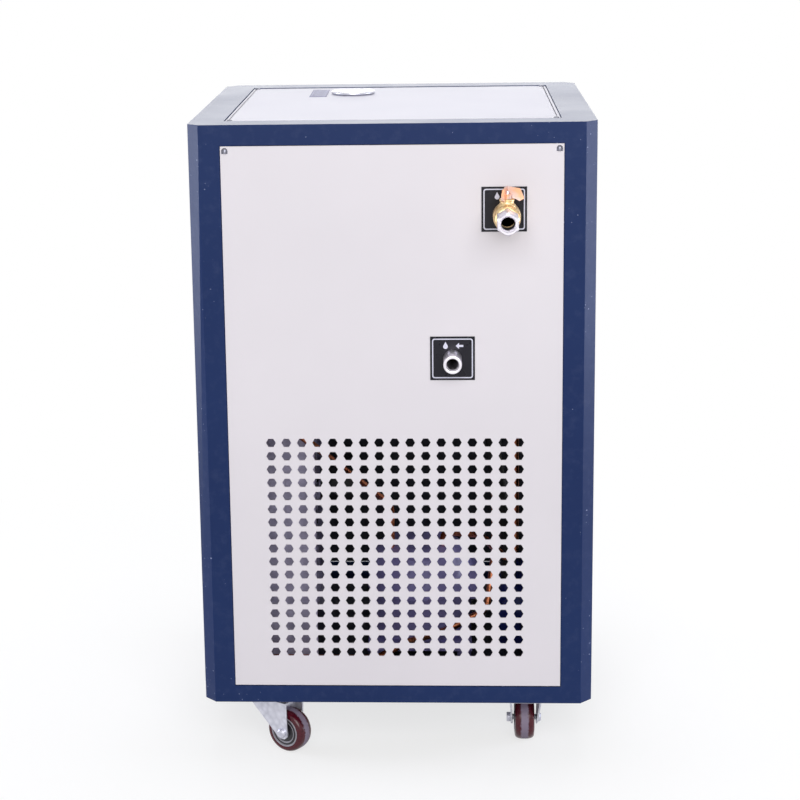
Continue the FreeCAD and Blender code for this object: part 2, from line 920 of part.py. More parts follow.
def handle_wing(x, y, base, degrees):
    """One upright wing of the handle, from the fold above the stem outwards."""
    body = new_body("wing")
    side = new_sketch(body, "XZ_Plane")
    reach, tall, droop = S.wing_reach, S.wing_height, S.wing_droop
    root, hub = S.stem_radius + 1, S.handle_hub_height
    lower = [(root, 0), (S.boss_radius + 1, 0), (reach * 0.76, -droop), (reach, 0), (reach, droop * 0.7)]
    upper = [(reach * 0.78, tall - droop), (0, tall), (0, hub + 2), (root, hub + 1)]
    draw_outline(side, lower + upper)
    add_pad(body, side, S.wing_thick, middle=True)
    return place(body, x, y, base, Rotation(Vector(0, 0, 1), degrees))


def valve_handle():
    """Butterfly handle: a hub with two upright wings set in a V."""
    x, z = outlet_axis()
    y = depth(-S.valve_middle - S.valve_start)
    base = z + S.boss_top + S.seat_gap
    hub = rod("z", x, y, base, S.handle_hub_radius, S.handle_hub_height)
    wings = [handle_wing(x, y, base, SIZES[name]) for name in ("wing_right", "wing_left")]
    room = S.handle_hub_height + S.stem_tail + S.seat_gap
    bore = rod("z", x, y, base, S.stem_radius + S.running_gap, room)
    named(cut(fuse(hub, *wings), bore), "valve_handle")


def outlet_end():
    """Steel end piece: a neck in the valve and a hexagon with the hose thread."""
    x, z = outlet_axis()
    tip = depth(-S.outlet_reach)
    front = depth(-S.valve_start - S.valve_length)
    hex_end = hexagon("y", x, tip, z, S.end_hex_side, S.end_hex_length)
    neck_start = tip + S.end_hex_length
    neck = rod("y", x, neck_start, z, S.end_neck_radius, front - neck_start)
    tail = rod("y", x, front, z, S.end_bore, S.nut_thick)
    way = rod("y", x, tip, z, S.water_bore, front - tip + S.nut_thick)
    socket = rod("y", x, tip, z, S.end_bore, S.end_bore_depth)
    named(cut(fuse(hex_end, neck, tail), way, socket), "outlet_end")


def inlet_nipple():
    """Steel nipple for the return hose: a plain stub, a thread through the panel, a tail inside."""
    x, z = inlet_axis()
    stub = S.inlet_reach + S.panel_set - S.label_thick - S.inlet_runout
    thread = S.inlet_reach + PANEL_IN + S.nut_thick
    whole = S.inlet_reach + S.nipple_inside
    bore, tail = S.inlet_bore, S.inlet_tail
    outline = [(bore, 0), (S.inlet_radius, 0), (S.inlet_radius, stub), (S.inlet_thread, stub)]
    outline += [(S.inlet_thread, thread), (tail, thread), (tail, whole), (bore, whole)]
    named(turned("inlet_nipple", "y", (x, depth(-S.inlet_reach), z), outline), "inlet_nipple")


def port_nuts():
    """Lock nuts of both ports behind the panel."""
    x, z = outlet_axis()
    behind = depth(PANEL_IN)
    outlet_nut = cut(hexagon("y", x, behind, z, S.nut_side, S.nut_thick),
                     rod("y", x, behind, z, S.thread_radius, S.nut_thick))
    x, z = inlet_axis()
    inlet_nut = cut(hexagon("y", x, behind, z, S.inlet_nut_side, S.nut_thick),
                    rod("y", x, behind, z, S.inlet_thread, S.nut_thick))
    named(group(outlet_nut, inlet_nut), "port_nuts")


# ---------------------------------------------------------------- filling neck


def tank_top():
    return height(S.cab_height - S.tank_drop)


def fill_neck():
    """Flanged neck from the cover down to the tank lid."""
    bottom = tank_top() + S.tank_wall
    top = cover_top()
    tall = top - bottom
    outer, inner = S.neck_radius, S.neck_radius - S.neck_wall
    flange, lip = S.neck_flange, S.neck_flange_thick
    outline = [(inner, 0), (outer, 0), (outer, tall), (flange, tall)]
    outline += [(flange, tall + lip), (inner, tall + lip)]
    body = turned("fill_neck", "z", (S.cap_x, depth(S.cap_depth), bottom), outline)
    named(body, "fill_neck")


def fill_cap():
    """Lift-off cap with a low crown, a centre knob and a plug inside the neck."""
    base = cover_top() + S.neck_flange_thick + S.seat_gap
    plug = S.neck_radius - S.neck_wall - 2 * S.seat_gap
    r, h = S.cap_radius, S.cap_height
    rim = S.neck_flange_thick + S.seat_gap - 0.2
    knob, rise = S.cap_knob_radius, S.cap_knob_height
    outline = [(0, -S.cap_plug_depth), (plug, -S.cap_plug_depth), (plug, 0), (r - 2, 0), (r - 2, -rim)]
    outline += [(r, -rim), (r, h * 0.55), (r - 3, h * 0.8), (knob, h), (knob, h + rise), (0, h + rise)]
    body = turned("fill_cap", "z", (S.cap_x, depth(S.cap_depth), base), outline)
    named(body, "fill_cap")


def rating_label():
    """Thin label plate beside the filler."""
    across = around(S.rating_x, S.rating_width)
    along = around(depth(S.rating_depth), S.rating_length)
    named(box(across, along, (cover_top(), cover_top() + S.rating_thick)), "rating_label")


# ---------------------------------------------------------------- control side


def controller():
    """Digital controller: bezel on the panel, window step and housing behind it."""
    face = FRONT_Y - S.panel_set
    level = height(CONTROLLER_UP)
    width, tall = S.controller_width, S.controller_height
    front = FRONT_Y + S.front_reach
    bezel = box(around(dim(0), width), (face, front), around(level, tall))
    edge = 2 * S.controller_bezel
    across, up = around(dim(0), width - edge), around(level, tall - edge)
    window = box(across, (front - S.controller_step, front), up)
    housing = box(across, (face - S.controller_depth, face), up)
    named(cut(fuse(bezel, housing), window), "controller")


def switch_frames():
    """Snap-in frames of the three rocker switches, each with its contact block."""
    items = []
    level = height(SWITCH_UP)
    face = FRONT_Y - S.panel_set
    wide, tall = S.switch_width, S.switch_height
    rim, wall = 2 * S.switch_rim, 2 * S.switch_wall
    outer = face + S.switch_rim_thick
    for _, x in switch_places():
        flange = box(around(x, wide + rim), (face, outer), around(level, tall + rim))
        well = box(around(x, wide), (face - S.switch_well, face), around(level, tall))
        room = box(around(x, wide - wall), (face - S.switch_room, outer), around(level, tall - wall))
        items.append(cut(fuse(flange, well), room, switch_pin(x, face, level, S.running_gap)))
    named(group(*items), "switch_frames")


def switch_pin(x, y, z, gap):
    """The rocker's pin, or with a gap the hole for it."""
    length = S.switch_width - 2 * (S.switch_wall - S.switch_pin_seat - gap)
    return rod("x", x - length / 2, y, z, S.switch_pin + gap, length)


def rocker(label, x):
    """Rocker that tips about a crossways pin just behind the panel face."""
    half = S.switch_height / 2 - S.switch_wall - S.switch_clear
    body = new_body("rocker")
    side = new_sketch(body, "YZ_Plane")
    rise, back, heel = S.switch_rise, -S.switch_heel_depth, S.switch_heel
    face = [(0, -half), (rise, -half), (rise - S.switch_dish, 0), (rise, half), (0, half)]
    draw_outline(side, face + [(back, heel), (back, -heel)])
    add_pad(body, side, S.switch_width - 2 * S.switch_wall - 2 * S.seat_gap, middle=True)
    tilt = Rotation(Vector(1, 0, 0), SIZES["switch_tilt"])
    y, z = FRONT_Y - S.panel_set, height(SWITCH_UP)
    place(body, x, y, z, tilt)
    bind(body, "Placement.Rotation.Angle", S.switch_tilt)
    named(fuse(body, switch_pin(x, y, z, dim(0))), label)


# ---------------------------------------------------------------- tank


def shelf():
    """Folded shelf across the posts that carries the tank."""
    body = new_body("tank_shelf")
    outer = new_sketch(body, "XY_Plane")
    draw_outline(outer, inset(LIP_IN + S.seat_gap))
    add_pad(body, outer, S.shelf_flange)
    under = new_sketch(body, "XY_Plane")
    draw_outline(under, inset(LIP_IN + S.seat_gap + S.shelf_steel))
    add_pocket(body, under, S.shelf_flange - S.shelf_steel, reverse=True)
    window = new_sketch(body, "XY_Plane")
    right = S.tank_x + S.tank_width / 2 + S.foam_thick + 10
    across = (right, HALF_W - LIP_END)
    along = (S.face_side - HALF_D, S.cab_depth / 2 - LIP_END)
    draw_outline(window, rectangle(across, along))
    add_pocket(body, window)
    place(body, 0, depth(HALF_D), height(S.shelf_height - S.shelf_flange))
    named(body, "tank_shelf")


def tank_box(grow, low, high):
    """Block about the tank's middle, grown by a wall on each side."""
    across = around(S.tank_x, S.tank_width + 2 * grow)
    along = around(depth(S.tank_depth), S.tank_length + 2 * grow)
    return box(across, along, (low, high))


def tank():
    """Open stainless tank with its return spigot and its drain spigot."""
    floor = height(S.shelf_height + S.foam_thick)
    outside = tank_box(dim(0), floor, tank_top())
    inside = tank_box(-S.tank_wall, floor + S.tank_wall, tank_top())
    x, z = inlet_axis()
    start = depth(S.tank_depth) - S.tank_length / 2 - S.foam_thick
    bore = spigot_radius() - 2 * S.spigot_wall
    reach = S.foam_thick + S.tank_wall
    spigot = rod("y", x, start, z, spigot_radius(), reach)
    way = rod("y", x, start, z, bore, reach + S.tank_wall)
    wall = S.tank_x + S.tank_width / 2 - S.tank_wall
    drain = rod("x", wall, drain_y(), drain_z(), spigot_radius(), reach)
    drain_way = rod("x", wall - S.tank_wall, drain_y(), drain_z(), bore, reach + S.tank_wall)
    named(cut(fuse(outside, spigot, drain), inside, way, drain_way), "tank")


def spigot_radius():
    """Outside of the tank's spigots, which carry the hoses."""
    return S.hose_bore + 1.5 * S.spigot_wall


def drain_y():
    return depth(S.tank_depth - S.drain_back)


def drain_z():
    return height(S.shelf_height + S.foam_thick + S.drain_rise)


def tank_lid():
    """Flat lid with a hole under the neck and holes for the coil ends."""
    top = tank_top()
    plate = tank_box(S.foam_thick, top, top + S.tank_wall)
    filler = rod("z", S.cap_x, depth(S.cap_depth), top, S.neck_radius - S.neck_wall, S.tank_wall)
    tools = [rod("z", x, y, top, S.coil_tube + S.hole_gap, S.tank_wall) for x, y in coil_ends()]
    named(cut(plate, filler, *tools), "tank_lid")


def tank_insulation():
    """Foam jacket round the tank, open where the spigots leave."""
    floor = height(S.shelf_height)
    outside = tank_box(S.foam_thick, floor, tank_top())
    room = tank_box(dim(0), floor + S.foam_thick, tank_top())
    x, z = inlet_axis()
    start = depth(S.tank_depth) - S.tank_length / 2 - S.foam_thick
    radius = spigot_radius() + S.hole_gap
    hole = rod("y", x, start, z, radius, S.foam_thick)
    side = S.tank_x + S.tank_width / 2
    drain = rod("x", side, drain_y(), drain_z(), radius, S.foam_thick)
    named(cut(outside, room, hole, drain), "tank_insulation")


def coil_ends():
    """Where the two ends of the evaporator pass the lid."""
    x = S.tank_x + S.tank_width / 2 - S.coil_margin
    y = depth(S.tank_depth)
    return [(x, y - S.coil_spread), (x, y + S.coil_spread)]


def evaporator_coil():
    """Serpentine copper coil standing in the tank."""
    (x, near), (_, far) = coil_ends()
    low = height(S.shelf_height + S.foam_thick + S.coil_foot)
    above = tank_top() + S.coil_head
    rise = (tank_top() - S.coil_top_gap - low) / (S.coil_runs - 1)
    left = S.tank_x - S.tank_width / 2 + S.coil_margin
    points = [(x, near, above)]
    for run in range(int(S.coil_runs.value)):
        level = low + (S.coil_runs - 1 - run) * rise
        y = near if run % 2 == 0 else near + S.coil_row
        ends = (x, left) if run % 2 == 0 else (left, x)
        points += [(ends[0], y, level), (ends[1], y, level)]
    points += [(left, far, low), (x, far, low), (x, far, above)]
    shaped("evaporator_coil", [sweep(points, S.coil_tube)])


# ---------------------------------------------------------------- refrigeration


def compressor():
    """Hermetic compressor can with a domed top, on four feet."""
    x, y = S.compressor_x, depth(S.compressor_depth)
    base = height(S.tray_steel + S.compressor_feet)
    r, h = S.compressor_radius, S.compressor_height
    weld, weld_top = h / 2, h / 2 + S.compressor_seam
    outline = [(0, 0), (r - 12, 0), (r, 12), (r, weld), (r + 2, weld), (r + 2, weld_top), (r, weld_top)]
    outline += [(r, h - 30), (r - 9, h - 14), (r - 28, h - 4), (0, h)]
    can = turned("compressor_can", "z", (x, y, base), outline)
    under = base + 1 - S.compressor_plate
    feet_plate = box(around(x, 2 * r), around(y, 2 * r), (under, base + 1))
    level = base + S.terminal_level
    across = (x + r - 6, x + r + S.terminal_reach)
    terminal = box(across, around(y, S.terminal_width), (level, level + S.terminal_width))
    floor, foot = height(S.tray_steel), S.compressor_foot_radius
    feet = []
    for sx in (-1, 1):
        for sy in (-1, 1):
            spot = (x + sx * (r - foot - 1), y + sy * (r - foot - 1))
            feet.append(rod("z", *spot, floor, foot, under - floor))
    named(fuse(can, feet_plate, terminal, *feet), "compressor")


def condenser_box():
    left = S.condenser_left
    across = (left, left + S.condenser_thick)
    start = depth(S.condenser_depth)
    along = (start, start + S.condenser_length)
    low = height(S.condenser_base)
    return across, along, (low, low + S.condenser_height)


def condenser():
    """Fin block with the tube bends standing out at both ends."""
    across, along, up = condenser_box()
    bend = S.condenser_bends
    core = box(across, (along[0] + bend, along[1] - bend), up)
    items = [core]
    for row in range(int(S.condenser_rows.value)):
        level = up[0] + S.condenser_height * (row + 0.5) / S.condenser_rows
        for end in (along[0] + bend, along[1] - bend):
            ring = DOC.addObject("Part::Torus", "bend")
            bind(ring, "Radius1", bend - S.line_radius)
            bind(ring, "Radius2", S.line_radius)
            middle = across[0] + S.condenser_thick / 2
            items.append(place(ring, middle, end, level))
    named(fuse(*items), "condenser")


def fan_shroud():
    """Sheet box behind the condenser with a round fan opening, on two feet."""
    across, along, up = condenser_box()
    left, right = across[1] + S.seat_gap, across[1] + S.seat_gap + S.shroud_thick
    outside = box((left, right), along, up)
    t = S.shroud_steel
    inside = box((left, right - t), (along[0] + t, along[1] - t), (up[0] + t, up[1] - t))
    middle_y, middle_z = shroud_middle()
    opening = rod("x", right - 2 * t, middle_y, middle_z, S.fan_radius + S.fan_gap, 4 * t)
    feet = []
    floor = height(S.tray_steel)
    for low, high in ((along[0], along[0] + t), (along[1] - t, along[1])):
        feet.append(box((left, right), (low, high), (floor, up[0])))
    face = motor_x()
    arm = box((face - S.arm_thick, face), (along[0] + t, along[1] - t), around(middle_z, S.arm_width))
    nose = rod("x", face - S.arm_thick, middle_y, middle_z, S.arm_hole, S.shroud_thick)
    named(cut(fuse(cut(outside, inside, opening), *feet, arm), nose), "fan_shroud")


def shroud_middle():
    _, along, up = condenser_box()
    return (along[0] + along[1]) / 2, (up[0] + up[1]) / 2


def motor_x():
    """Plane of the fan arm's outer face."""
    across, _, _ = condenser_box()
    return across[1] + S.seat_gap + S.shroud_thick - S.arm_set


def fan_motor():
    """Fan motor on the arm, with its shaft reaching into the shroud."""
    y, z = shroud_middle()
    start = motor_x()
    can = rod("x", start, y, z, S.motor_radius, S.motor_length)
    shaft_length = S.fan_set + S.fan_hub_length / 2
    shaft = rod("x", start - shaft_length, y, z, S.motor_shaft, shaft_length + 2)
    named(fuse(can, shaft), "fan_motor")


def fan():
    """Pitched blades on a hub that runs on the motor's shaft."""
    y, z = shroud_middle()
    middle_x = motor_x() - S.fan_set
    hub_x = middle_x - S.fan_hub_length / 2
    hub = rod("x", hub_x, y, z, S.fan_hub, S.fan_hub_length)
    blades = []
    for index in range(SIZES["fan_blades"]):
        blade = DOC.addObject("Part::Box", "blade")
        reach = S.fan_radius - S.fan_hub / 2
        bind(blade, "Length", S.fan_blade_thick)
        bind(blade, "Width", S.fan_chord)
        bind(blade, "Height", reach)
        turn = Rotation(Vector(1, 0, 0), 360 / SIZES["fan_blades"] * index)
        pitch = Rotation(Vector(0, 0, 1), SIZES["fan_pitch"])
        both = turn.multiply(pitch)
        corner = Vector(-SIZES["fan_blade_thick"] / 2, -SIZES["fan_chord"] / 2, SIZES["fan_hub"] / 2)
        offset = both.multVec(corner)
        place(blade, middle_x + offset.x, y + offset.y, z + offset.z, both)
        blades.append(blade)
    bore = rod("x", hub_x, y, z, S.motor_shaft + S.running_gap, S.fan_hub_length)
    named(cut(fuse(hub, *blades), bore), "fan")


def pump():
    """Circulation pump: volute at the service side and motor behind it."""
    x, y, z = S.pump_x, depth(S.pump_depth), height(S.pump_level)
    r = S.pump_radius
    port, reach = S.hose_bore + S.pump_port_wall, S.pump_port_length
    volute = rod("y", x, y, z, r, S.pump_width)
    suction = rod("-y", x, y + 1, z, port, reach)
    delivery = rod("z", delivery_x(), y + S.pump_width / 2, z, port, r + reach - 2)
    motor = rod("y", x, y + S.pump_width, z, S.pump_motor_radius, S.pump_motor_length)
    start = y + S.pump_width + S.pump_foot_set
    wide = S.pump_foot_width
    foot = box(around(x, wide), (start, start + wide), (height(S.tray_steel), z))
    named(fuse(volute, suction, delivery, motor, foot), "pump")


def delivery_x():
    """X of the pump's delivery port, near the rim of the volute."""
    return S.pump_x - S.pump_radius + 14


def copper_lines():
    """Discharge, liquid and suction lines of the refrigerant circuit."""
    across, along, up = condenser_box()
    edge = across[1] + S.seat_gap + S.shroud_thick
    rear = along[0] - 14
    can_top = height(S.tray_steel + S.compressor_feet + S.compressor_height)
    x, y = S.compressor_x, depth(S.compressor_depth)
    r = S.line_radius
    core_x = across[0] + S.condenser_thick / 2
    core_y = along[0] - S.seat_gap
    discharge = [(x - 42, y - 30, can_top - 6), (x - 42, y - 30, can_top + 60),
                 (edge - 6, rear - 6, up[1] - 40), (edge - 40, rear, up[1] - 16),
                 (core_x, rear, up[1] - 25), (core_x, core_y, up[1] - 25)]
    (near_x, near_y), (far_x, far_y) = coil_ends()
    low = height(S.tray_steel) + 45
    over = tank_top() + S.coil_head
    liquid = [(core_x, core_y, up[0] + 25), (core_x, rear - 4, up[0] + 25),
              (core_x + 9, rear - 4, low), (x - 60, rear - 4, low), (x - 20, rear + 30, low + 10),
              (x + 40, y - S.compressor_radius - 20, low + 8), (S.pump_x - 60, y - 95, low + 40),
              (liquid_x(), y - 60, low + 120), (liquid_x(), near_y, height(S.shelf_height)),
              (liquid_x(), near_y, over), (near_x + r + 6, near_y, over)]
    suction = [(x + 36, y - 24, can_top - 6), (x + 36, y - 24, can_top + 16), (x + 90, y - 60, can_top + 24),
               (suction_x() - 14, depth(60), height(196)), (suction_x(), depth(70), height(196)),
               (suction_x(), depth(80), height(S.shelf_height - 40)),
               (liquid_x() + 24, far_y, height(S.shelf_height + 30)),
               (liquid_x() + 24, far_y, over), (far_x + r + 6, far_y, over)]
    shaped("copper_lines", [sweep(points, r) for points in (discharge, liquid, suction)])


def liquid_x():
    """X of the two refrigerant risers, just right of the tank's foam."""
    return S.tank_x + S.tank_width / 2 + S.foam_thick + 22


def suction_x():
    """X of the suction riser, beside the delivery hose."""
    return S.outlet_x + 16


def water_lines():
    """Rubber hoses: tank to pump, pump to outlet and inlet to tank."""
    r, b = S.hose_radius, S.hose_bore
    x, z = outlet_axis()
    nipple_end = depth(S.nipple_inside)
    pump_y = depth(S.pump_depth)
    pump_z = height(S.pump_level)
    rise_y = pump_y + S.pump_width / 2
    port_end = S.pump_port_length - 2
    delivery_top = pump_z + S.pump_radius + port_end
    delivery = [(delivery_x(), rise_y, delivery_top), (delivery_x(), rise_y, delivery_top + 60),
                (x - 14, depth(118), height(330)), (x - 10, depth(100), height(500)),
                (x, depth(90), z - 60), (x, depth(78), z), (x, nipple_end, z)]
    side = S.tank_x + S.tank_width / 2 + S.foam_thick
    far_x = HALF_W - LIP_END - 16
    suction = [(side, drain_y(), drain_z()), (side + 36, drain_y(), drain_z()),
               (far_x, drain_y() - 16, drain_z() - 50), (far_x, depth(120), height(250)),
               (far_x, depth(100), height(180)), (S.pump_x + 8, depth(64), height(100)),
               (S.pump_x, depth(84), pump_z), (S.pump_x, pump_y + 1 - S.pump_port_length, pump_z)]
    x, z = inlet_axis()
    wall = depth(S.tank_depth) - S.tank_length / 2 - S.foam_thick
    back = [(x, nipple_end, z), (x, wall, z)]
    shaped("water_lines", [sweep(points, r, b) for points in (delivery, suction, back)])


def cable_gland():
    """Mains cable gland under the base tray."""
    x, y = dim(0), depth(gland_place())
    top = BASE_Z + S.tray_steel
    low = BASE_Z - S.gland_reach
    length = S.gland_reach + S.tray_steel + S.gland_thread_end
    collar = hexagon("z", x, y, BASE_Z - S.gland_collar, S.gland_hex, S.gland_collar)
    thread = rod("z", x, y, low, S.gland_radius, length)
    nut = hexagon("z", x, y, top, S.gland_hex, S.bolt_nut)
    bore = rod("z", x, y, low, S.gland_bore, length)
    named(cut(fuse(collar, thread, nut), bore), "cable_gland")


# ---------------------------------------------------------------- castors


def plate_bottom():
    return BASE_Z - S.castor_plate_thick


def castor_plates():
    """Top plates, each with its swivel race and kingpin."""
    items = []
    low = plate_bottom()
    race_low = low - S.race_height
    crown_low = race_low - S.seat_gap - S.fork_crown
    for _, x, inward, _, _ in castor_places():
        y = depth(inward)
        plate = box(around(x, S.castor_plate_x), around(y, S.castor_plate_y), (low, BASE_Z))
        race = rod("z", x, y, race_low, S.race_radius, S.race_height)
        pin_low = crown_low - S.seat_gap - S.kingpin_head
        pin = rod("z", x, y, pin_low, S.kingpin_radius, race_low - pin_low + 1)
        head = rod("z", x, y, pin_low, S.kingpin_radius + S.kingpin_head, S.kingpin_head)
        holes = []
        for sx in (-1, 1):
            for sy in (-1, 1):
                holes.append(rod("z", x + sx * S.castor_bolt_x, y + sy * S.castor_bolt_y, low,
                                 S.castor_bolt_radius + S.hole_gap, S.castor_plate_thick))
        items.append(cut(fuse(plate, race, pin, head), *holes))
    named(group(*items), "castor_plates")


def castor_bolts():
    """Hexagon bolts and nuts that hold the castor plates to the tray."""
    items = []
    low = plate_bottom()
    for x, inward in castor_bolt_places():
        y = depth(inward)
        head = hexagon("z", x, y, low - S.bolt_head, S.bolt_side, S.bolt_head)
        length = S.castor_plate_thick + S.tray_steel + S.bolt_nut + 2
        shank = rod("z", x, y, low, S.castor_bolt_radius, length)
        nut = hexagon("z", x, y, BASE_Z + S.tray_steel, S.bolt_side, S.bolt_nut)
        items.append(fuse(head, shank, nut))
    named(group(*items), "castor_bolts")


def crown_top():
    return plate_bottom() - S.race_height - S.seat_gap


def fork(corner, x, y, heading, braked):
    """Bent fork: crown on the race, wedge-shaped cheeks and the axle bolt through them."""
    body = new_body("fork")
    top = crown_top()
    wheel_z = S.wheel_radius
    nose = S.trail + S.fork_nose
    side = new_sketch(body, "XZ_Plane")
    back, axle = S.fork_back, S.trail
    cheek = [(-back, top), (-back, top - S.fork_crown - 2), (axle - 9, wheel_z - 5), (axle - 4, wheel_z - 9)]
    draw_outline(side, cheek + [(axle + 4, wheel_z - 9), (nose, wheel_z - 4), (nose, top)])
    add_pad(body, side, S.fork_width, middle=True)
    room = new_sketch(body, "XY_Plane")
    half = S.fork_width / 2 - S.fork_steel
    draw_outline(room, rectangle((-S.fork_back - 5, nose + 5), (-half, half)))
    add_pocket(body, room, top - S.fork_crown, reverse=True)
    axle_hole = new_sketch(body, "XZ_Plane")
    draw_circle(axle_hole, S.trail, wheel_z, S.axle_radius + S.hole_gap)
    if braked:
        draw_circle(axle_hole, pedal_x(), wheel_z + S.pedal_pin_height, S.pedal_pin_radius + S.running_gap)
    add_pocket(body, axle_hole)
    pin_hole = new_sketch(body, "XY_Plane")
    draw_circle(pin_hole, 0, 0, S.kingpin_radius + S.running_gap)
    add_pocket(body, pin_hole)
    turn = Rotation(Vector(0, 0, 1), heading)
    half = S.fork_width / 2
    shank = rod("y", S.trail, -half - 1, wheel_z, S.axle_radius, S.fork_width + S.bolt_nut + 1)
    head = hexagon("y", S.trail, -half - S.bolt_head, wheel_z, S.bolt_side, S.bolt_head)
    nut = hexagon("y", S.trail, half, wheel_z, S.bolt_side, S.bolt_nut)
    both = group(body, fuse(shank, head, nut))
    named(place(both, x, y, 0, turn), "castor_fork_" + corner)


def wheel(corner, x, y, heading):
    """Wheel core on the axle and the tread moulded round it."""
    turn = Rotation(Vector(0, 0, 1), heading)
    r, w = S.wheel_radius, S.wheel_width
    inner = r - S.tread_thick
    wide = w + 2 * S.core_proud
    core = tube("y", S.trail, -wide / 2, r, inner, S.axle_radius + S.running_gap, wide)
    named(place(group(core), x, y, 0, turn), "wheel_core_" + corner)
    tread = new_body("tread")
    sketch = new_sketch(tread, "XZ_Plane")
    edge = S.tread_edge
    outline = [(inner, -w / 2), (r - edge, -w / 2), (r - 1, edge - w / 2), (r, edge + 3 - w / 2)]
    outline += [(a, -b) for a, b in reversed(outline)]
    draw_outline(sketch, outline)
    spin = tread.newObject("PartDesign::Revolution", "revolution")
    spin.Profile = sketch
    spin.ReferenceAxis = (sketch, ["V_Axis"])
    spin.Angle = 360
    place(tread, S.trail, 0, r, TURNS["y"])
    named(place(group(tread), x, y, 0, turn), "wheel_tread_" + corner)


def pedal_x():
    """Distance of the pedal's pin from the swivel axis."""
    return S.trail + S.pedal_pin_ahead


def brake_pedal(corner, x, y, heading):
    """Foot pedal on a cross pin, its shoe just clear of the tread."""
    body = new_body("pedal")
    z = S.wheel_radius + S.pedal_pin_height
    px = pedal_x()
    side = new_sketch(body, "XZ_Plane")
    thick = S.pedal_thick
    reach = px + S.pedal_length
    near = S.wheel_radius + S.shoe_gap
    shoe_x, shoe_z = S.trail + near * 0.6 + 1, S.wheel_radius + near * 0.8 + 1.5
    shoe = [(px - 2, z - 3), (shoe_x, shoe_z), (shoe_x + 5, shoe_z)]
    tread = [(reach, z - thick - 7), (reach + 1, z - 7)]
    top = [(px + 7, z + 0.6), (px + 1, z + 2.8), (px - 2, z + 2.8)]
    draw_outline(side, shoe + tread + top)
    add_pad(body, side, S.fork_width - 2 * S.fork_steel - 4 * S.seat_gap, middle=True)
    pin = rod("y", px, -S.fork_width / 2 - 1, z, S.pedal_pin_radius, S.fork_width + 2)
    turn = Rotation(Vector(0, 0, 1), heading)
    named(place(group(fuse(body, pin)), x, y, 0, turn), "brake_pedal_" + corner)


def castors():
    castor_plates()
    castor_bolts()
    for corner, x, inward, heading, braked in castor_places():
        y = depth(inward)
        fork(corner, x, y, heading, braked)
        wheel(corner, x, y, heading)
        if braked:
            brake_pedal(corner, x, y, heading)


# ---------------------------------------------------------------- build


def build_cabinet():
    corner_post("post_rear_left", -HALF_W, REAR_Y, 0)
    corner_post("post_rear_right", HALF_W, REAR_Y, 90)
    corner_post("post_front_right", HALF_W, FRONT_Y, 180)
    corner_post("post_front_left", -HALF_W, FRONT_Y, 270)
    top_frame()
    base_frame()
    base_tray()
    rear_panel()
    side_panel("right_panel", HALF_W - PANEL_IN, 90)
    side_panel("left_panel", PANEL_IN - HALF_W, 270)
    front_panel()
    top_cover()
    panel_screws()


def build_ports():
    port_labels()
    bulkhead_nipple()
    valve_body()
    valve_stem()
    valve_handle()
    outlet_end()
    inlet_nipple()
    port_nuts()
    fill_neck()
    fill_cap()
    rating_label()


def build_controls():
    controller()
    switch_frames()
    for label, x in switch_places():
        rocker(label, x)


def build_inside():
    shelf()
    tank()
    tank_lid()
    tank_insulation()
    evaporator_coil()
    compressor()
    condenser()
    fan_shroud()
    fan_motor()
    fan()
    pump()
    copper_lines()
    water_lines()
    cable_gland()


def check_document():
    """Stop on any failed object or any sub-part without a valid shape."""
    failed = [item.Name for item in DOC.Objects if {"Invalid", "Error"} & set(item.State)]
    for item in PARTS:
        if item.Shape.isNull() or not item.Shape.isValid() or not item.Shape.Solids:
            failed.append(item.Label)
    if failed:
        raise RuntimeError("these objects failed: " + ", ".join(failed))


def write_parts():
    os.makedirs("parts", exist_ok=True)
    for item in PARTS:
        item.Shape.exportStep("parts/%s.step" % item.Label)


build_cabinet()
build_ports()
build_controls()
build_inside()
castors()
DOC.recompute()
check_document()
write_parts()
print("%d sub-parts written" % len(PARTS))
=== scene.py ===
import json
import math

import bmesh
import bpy
from mathutils import Matrix, Vector

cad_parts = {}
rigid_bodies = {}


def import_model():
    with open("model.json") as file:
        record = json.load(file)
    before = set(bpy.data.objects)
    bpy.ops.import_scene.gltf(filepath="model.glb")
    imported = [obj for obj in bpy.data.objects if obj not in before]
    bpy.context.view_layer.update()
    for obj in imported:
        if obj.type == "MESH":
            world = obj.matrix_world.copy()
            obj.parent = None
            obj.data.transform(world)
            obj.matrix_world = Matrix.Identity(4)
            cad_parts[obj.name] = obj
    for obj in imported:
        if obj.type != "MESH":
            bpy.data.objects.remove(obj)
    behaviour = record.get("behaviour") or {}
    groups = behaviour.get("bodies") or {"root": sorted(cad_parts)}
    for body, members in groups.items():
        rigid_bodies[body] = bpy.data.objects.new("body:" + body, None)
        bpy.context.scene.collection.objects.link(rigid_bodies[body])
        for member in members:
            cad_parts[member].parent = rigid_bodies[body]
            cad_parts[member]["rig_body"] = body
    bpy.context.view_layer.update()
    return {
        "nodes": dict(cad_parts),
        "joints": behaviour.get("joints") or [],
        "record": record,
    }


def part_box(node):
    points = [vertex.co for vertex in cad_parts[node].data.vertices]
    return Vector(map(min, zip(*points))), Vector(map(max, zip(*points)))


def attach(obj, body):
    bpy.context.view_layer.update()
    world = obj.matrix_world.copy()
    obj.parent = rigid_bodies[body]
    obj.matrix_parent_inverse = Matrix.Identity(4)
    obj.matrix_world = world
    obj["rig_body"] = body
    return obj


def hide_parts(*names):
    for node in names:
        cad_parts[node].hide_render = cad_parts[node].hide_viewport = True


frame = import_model()
NODES = frame["nodes"]
SLOTS = {row["node"]: row["material_slot"] for row in frame["record"]["subparts"]}
JOINTS = {joint["name"]: joint for joint in frame["joints"]}
SCENE = bpy.context.scene
MM = 0.001
UP = Vector((0, 0, 1))
OUTWARD = Vector((0, -1, 0))
CORNERS = ("rear_left", "rear_right", "front_left", "front_right")
SAME_PLACE = 1e-6

